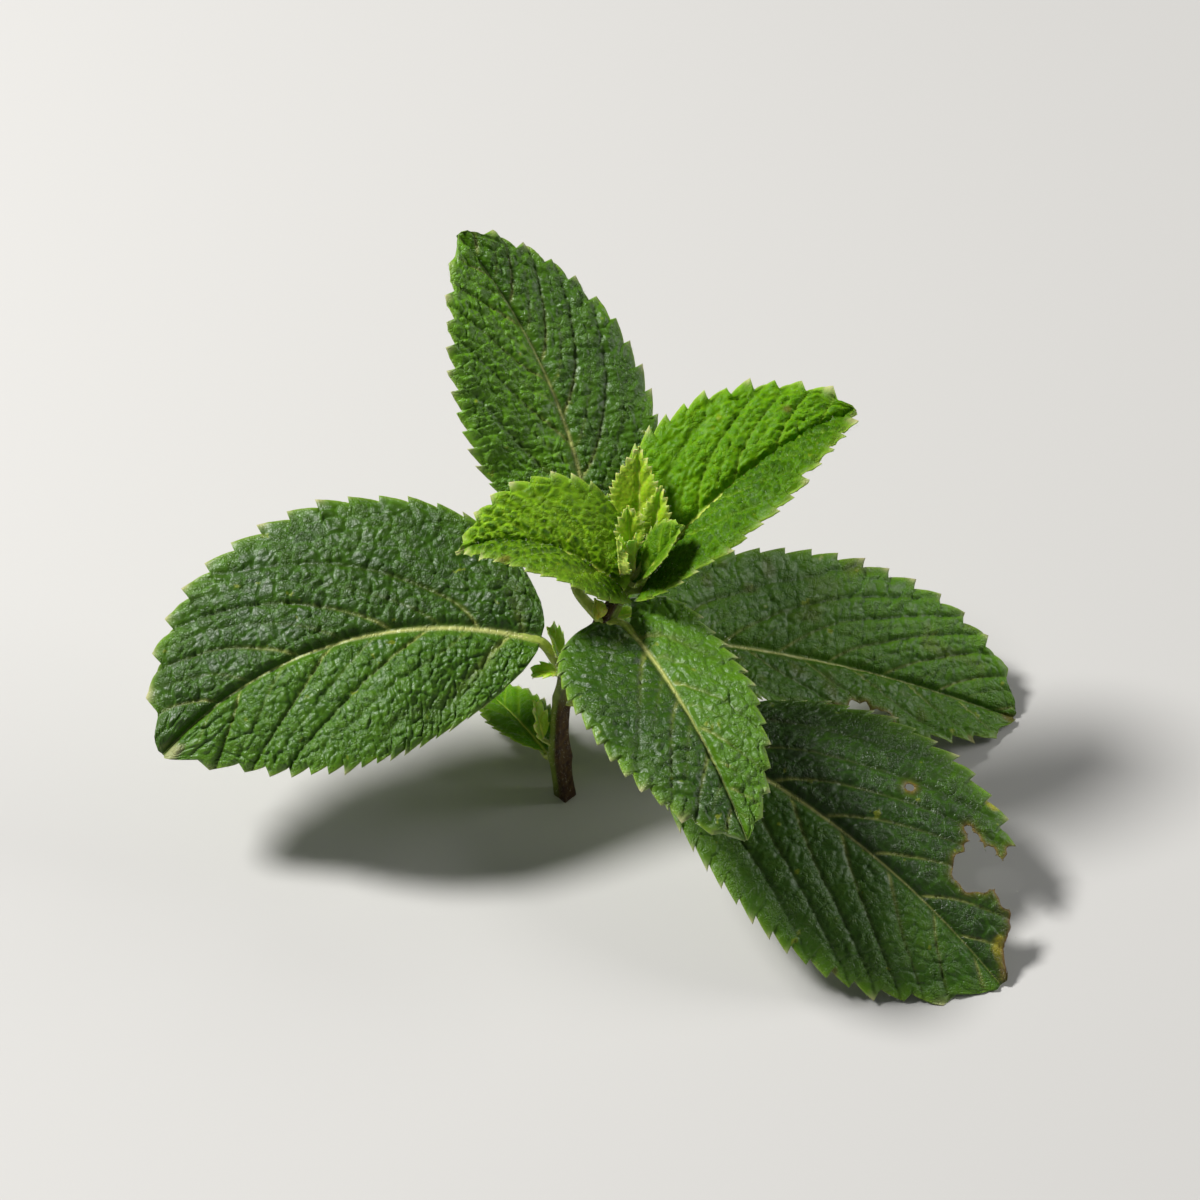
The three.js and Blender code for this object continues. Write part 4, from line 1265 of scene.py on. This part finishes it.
def stem_material():
    """Stem colour: green with a purple-brown side, partly painted shade, pale ridges, and darker brown
    towards the cut foot.
    """
    shader = Shader("stem")
    part = shader.parts(STEM_FIELDS)
    streak = shader.spread(shader.grain(0.8, 4.0, 0.6), 0.3, 0.7)
    colour = shader.coats(
        shader.mix(streak, STEM_DEEP, STEM_GREEN),
        (part.ridge, 0.3, STEM_RIDGE),
        (shader.spread(part.level, 0.88, 0.96), 1.0, STEM_TOP),
        # purple-brown, which low down on the right is partly painted shade
        (part.purple, shader.spread(streak, 0, 1, 1, 0.8), shader.mix(streak, PURPLE_DEEP, PURPLE_BROWN)),
        (part.foot, 0.4, STEM_FOOT),
    )
    shader.bump(shader.grain(0.3, 3.0), 0.1, 0.3)
    shader.set(base_color=colour, roughness=0.5, specular_ior_level=0.3)
    return shader.material


def pith_material():
    """The cut end: a green rind round pale, slightly dried pith."""
    shader = Shader("pith")
    pale = shader.mix(shader.spread(shader.grain(0.3), 0.3, 0.7), PITH, DRY_PITH)
    outer = shader.spread(shader.parts(STEM_FIELDS).level, 0.66, 0.9)
    shader.bump(shader.grain(0.2, 3.0), 0.1, 0.8)
    shader.set(base_color=shader.coats(pale, (outer, 1.0, RIND)), roughness=0.75)
    return shader.material


def hair_material():
    shader = Shader("hairs")
    shader.set(base_color=shader.mix(shader.grain(3.0), HAIR, PALE_HAIR), roughness=0.6)
    return shader.material


def floor_material():
    shader = Shader("floor")
    colour = shader.mix(shader.grain(400.0), FLOOR_SHADED, FLOOR_PALE)
    shader.set(base_color=colour, roughness=0.9, specular_ior_level=0.1)
    return shader.material


# ---- pieces
def make_leaf(name, terms, seed, materials):
    """One leaf with its stalk, in place of its CAD solid."""
    blade = Blade(name, terms, seed)
    stalk_points, stalk_faces, stalk_fields, stalk_outward = stalk_part(blade)
    points, faces, fields, slots = join_parts([
        (*blade_part(blade), BLADE_SLOT),
        (stalk_points, stalk_faces, stalk_fields, STALK_SLOT),
        *leaf_hairs(blade, stalk_points, stalk_outward),
    ])
    kinds = [materials[blade.tint], materials["stalk"], materials["hair"]]
    piece = build_mesh(name + "_looks", points, faces, kinds, fields, slots)
    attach(piece, BODY)
    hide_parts(name)


def make_stem(materials):
    """The stem, its cut foot and the short hairs on it."""
    points, faces, fields, *rings = stem_part()
    joined, joined_faces, joined_fields, slots = join_parts([
        (points, faces, fields, BARK_SLOT),
        (*cut_end_part(*rings), PITH_SLOT),
    ])
    kinds = [materials["stem"], materials["pith"]]
    piece = build_mesh("stem_looks", joined, joined_faces, kinds, joined_fields, slots)
    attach(piece, BODY)
    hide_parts("main_stem")
    outward = unit(points - np.repeat(rings[0], STEM_SIDES, axis=0))
    hair_points, hair_faces = hairs_part(points, outward, STEM_HAIRS, **STEM_HAIR, seed=STEM_HAIR_SEED)
    hairs = build_mesh("stem_hairs", hair_points, hair_faces, [materials["hair"]])
    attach(hairs, BODY)


def make_floor(material):
    mesh = bpy.data.meshes.new("floor")
    corners = [(x * FLOOR_REACH, y * FLOOR_REACH, 0) for x, y in ((-1, -1), (1, -1), (1, 1), (-1, 1))]
    mesh.from_pydata(corners, [], [(0, 1, 2, 3)])
    mesh.materials.append(material)
    floor = put_in_scene("floor", mesh)


# ---- light and camera
def area_light(name, place, size, power):
    """A round light that faces the sprig."""
    light = bpy.data.lights.new(name, "AREA")
    light.shape = "DISK"
    light.size = size
    light.energy = power
    lamp = put_in_scene(name, light)
    lamp.location = place
    lamp.rotation_mode = "QUATERNION"
    lamp.rotation_quaternion = (Vector(LIGHT_TARGET) - Vector(place)).to_track_quat("-Z", "Y")


def make_world():
    world = bpy.data.worlds.new("studio")
    world.use_nodes = True
    background = world.node_tree.nodes["Background"]
    background.inputs["Color"].default_value = SKY_COLOUR
    background.inputs["Strength"].default_value = SKY_STRENGTH
    bpy.context.scene.world = world


def make_camera():
    """The photo's view: along +Y, looking down at the sprig."""
    low, high = cad_box
    target = (low + high) / 2 + Vector(CAMERA_TARGET) * MM
    camera = bpy.data.cameras.new("camera")
    camera.lens = LENS
    camera.sensor_width = SENSOR_WIDTH
    viewer = put_in_scene("camera", camera)
    away = Vector((0, -math.cos(CAMERA_ANGLE), math.sin(CAMERA_ANGLE)))
    viewer.location = target + CAMERA_DISTANCE * away
    viewer.rotation_euler = (math.pi / 2 - CAMERA_ANGLE, 0, 0)
    bpy.context.scene.camera = viewer


# ---- the whole scene
make_camera()
materials = {kind: leaf_material(kind) for kind in LEAF_TONES}
materials.update(stalk=stalk_material(), stem=stem_material(), pith=pith_material())
materials.update(hair=hair_material(), floor=floor_material())
bpy.context.scene.view_settings.view_transform = "Standard"
make_floor(materials["floor"])
make_world()
area_light("softbox", **SOFTBOX)
area_light("fill", **FILL)
make_stem(materials)
for number, (name, terms) in enumerate(LEAVES.items()):
    make_leaf(name, terms, LEAF_SEED_STEP * number + FIRST_LEAF_SEED, materials)
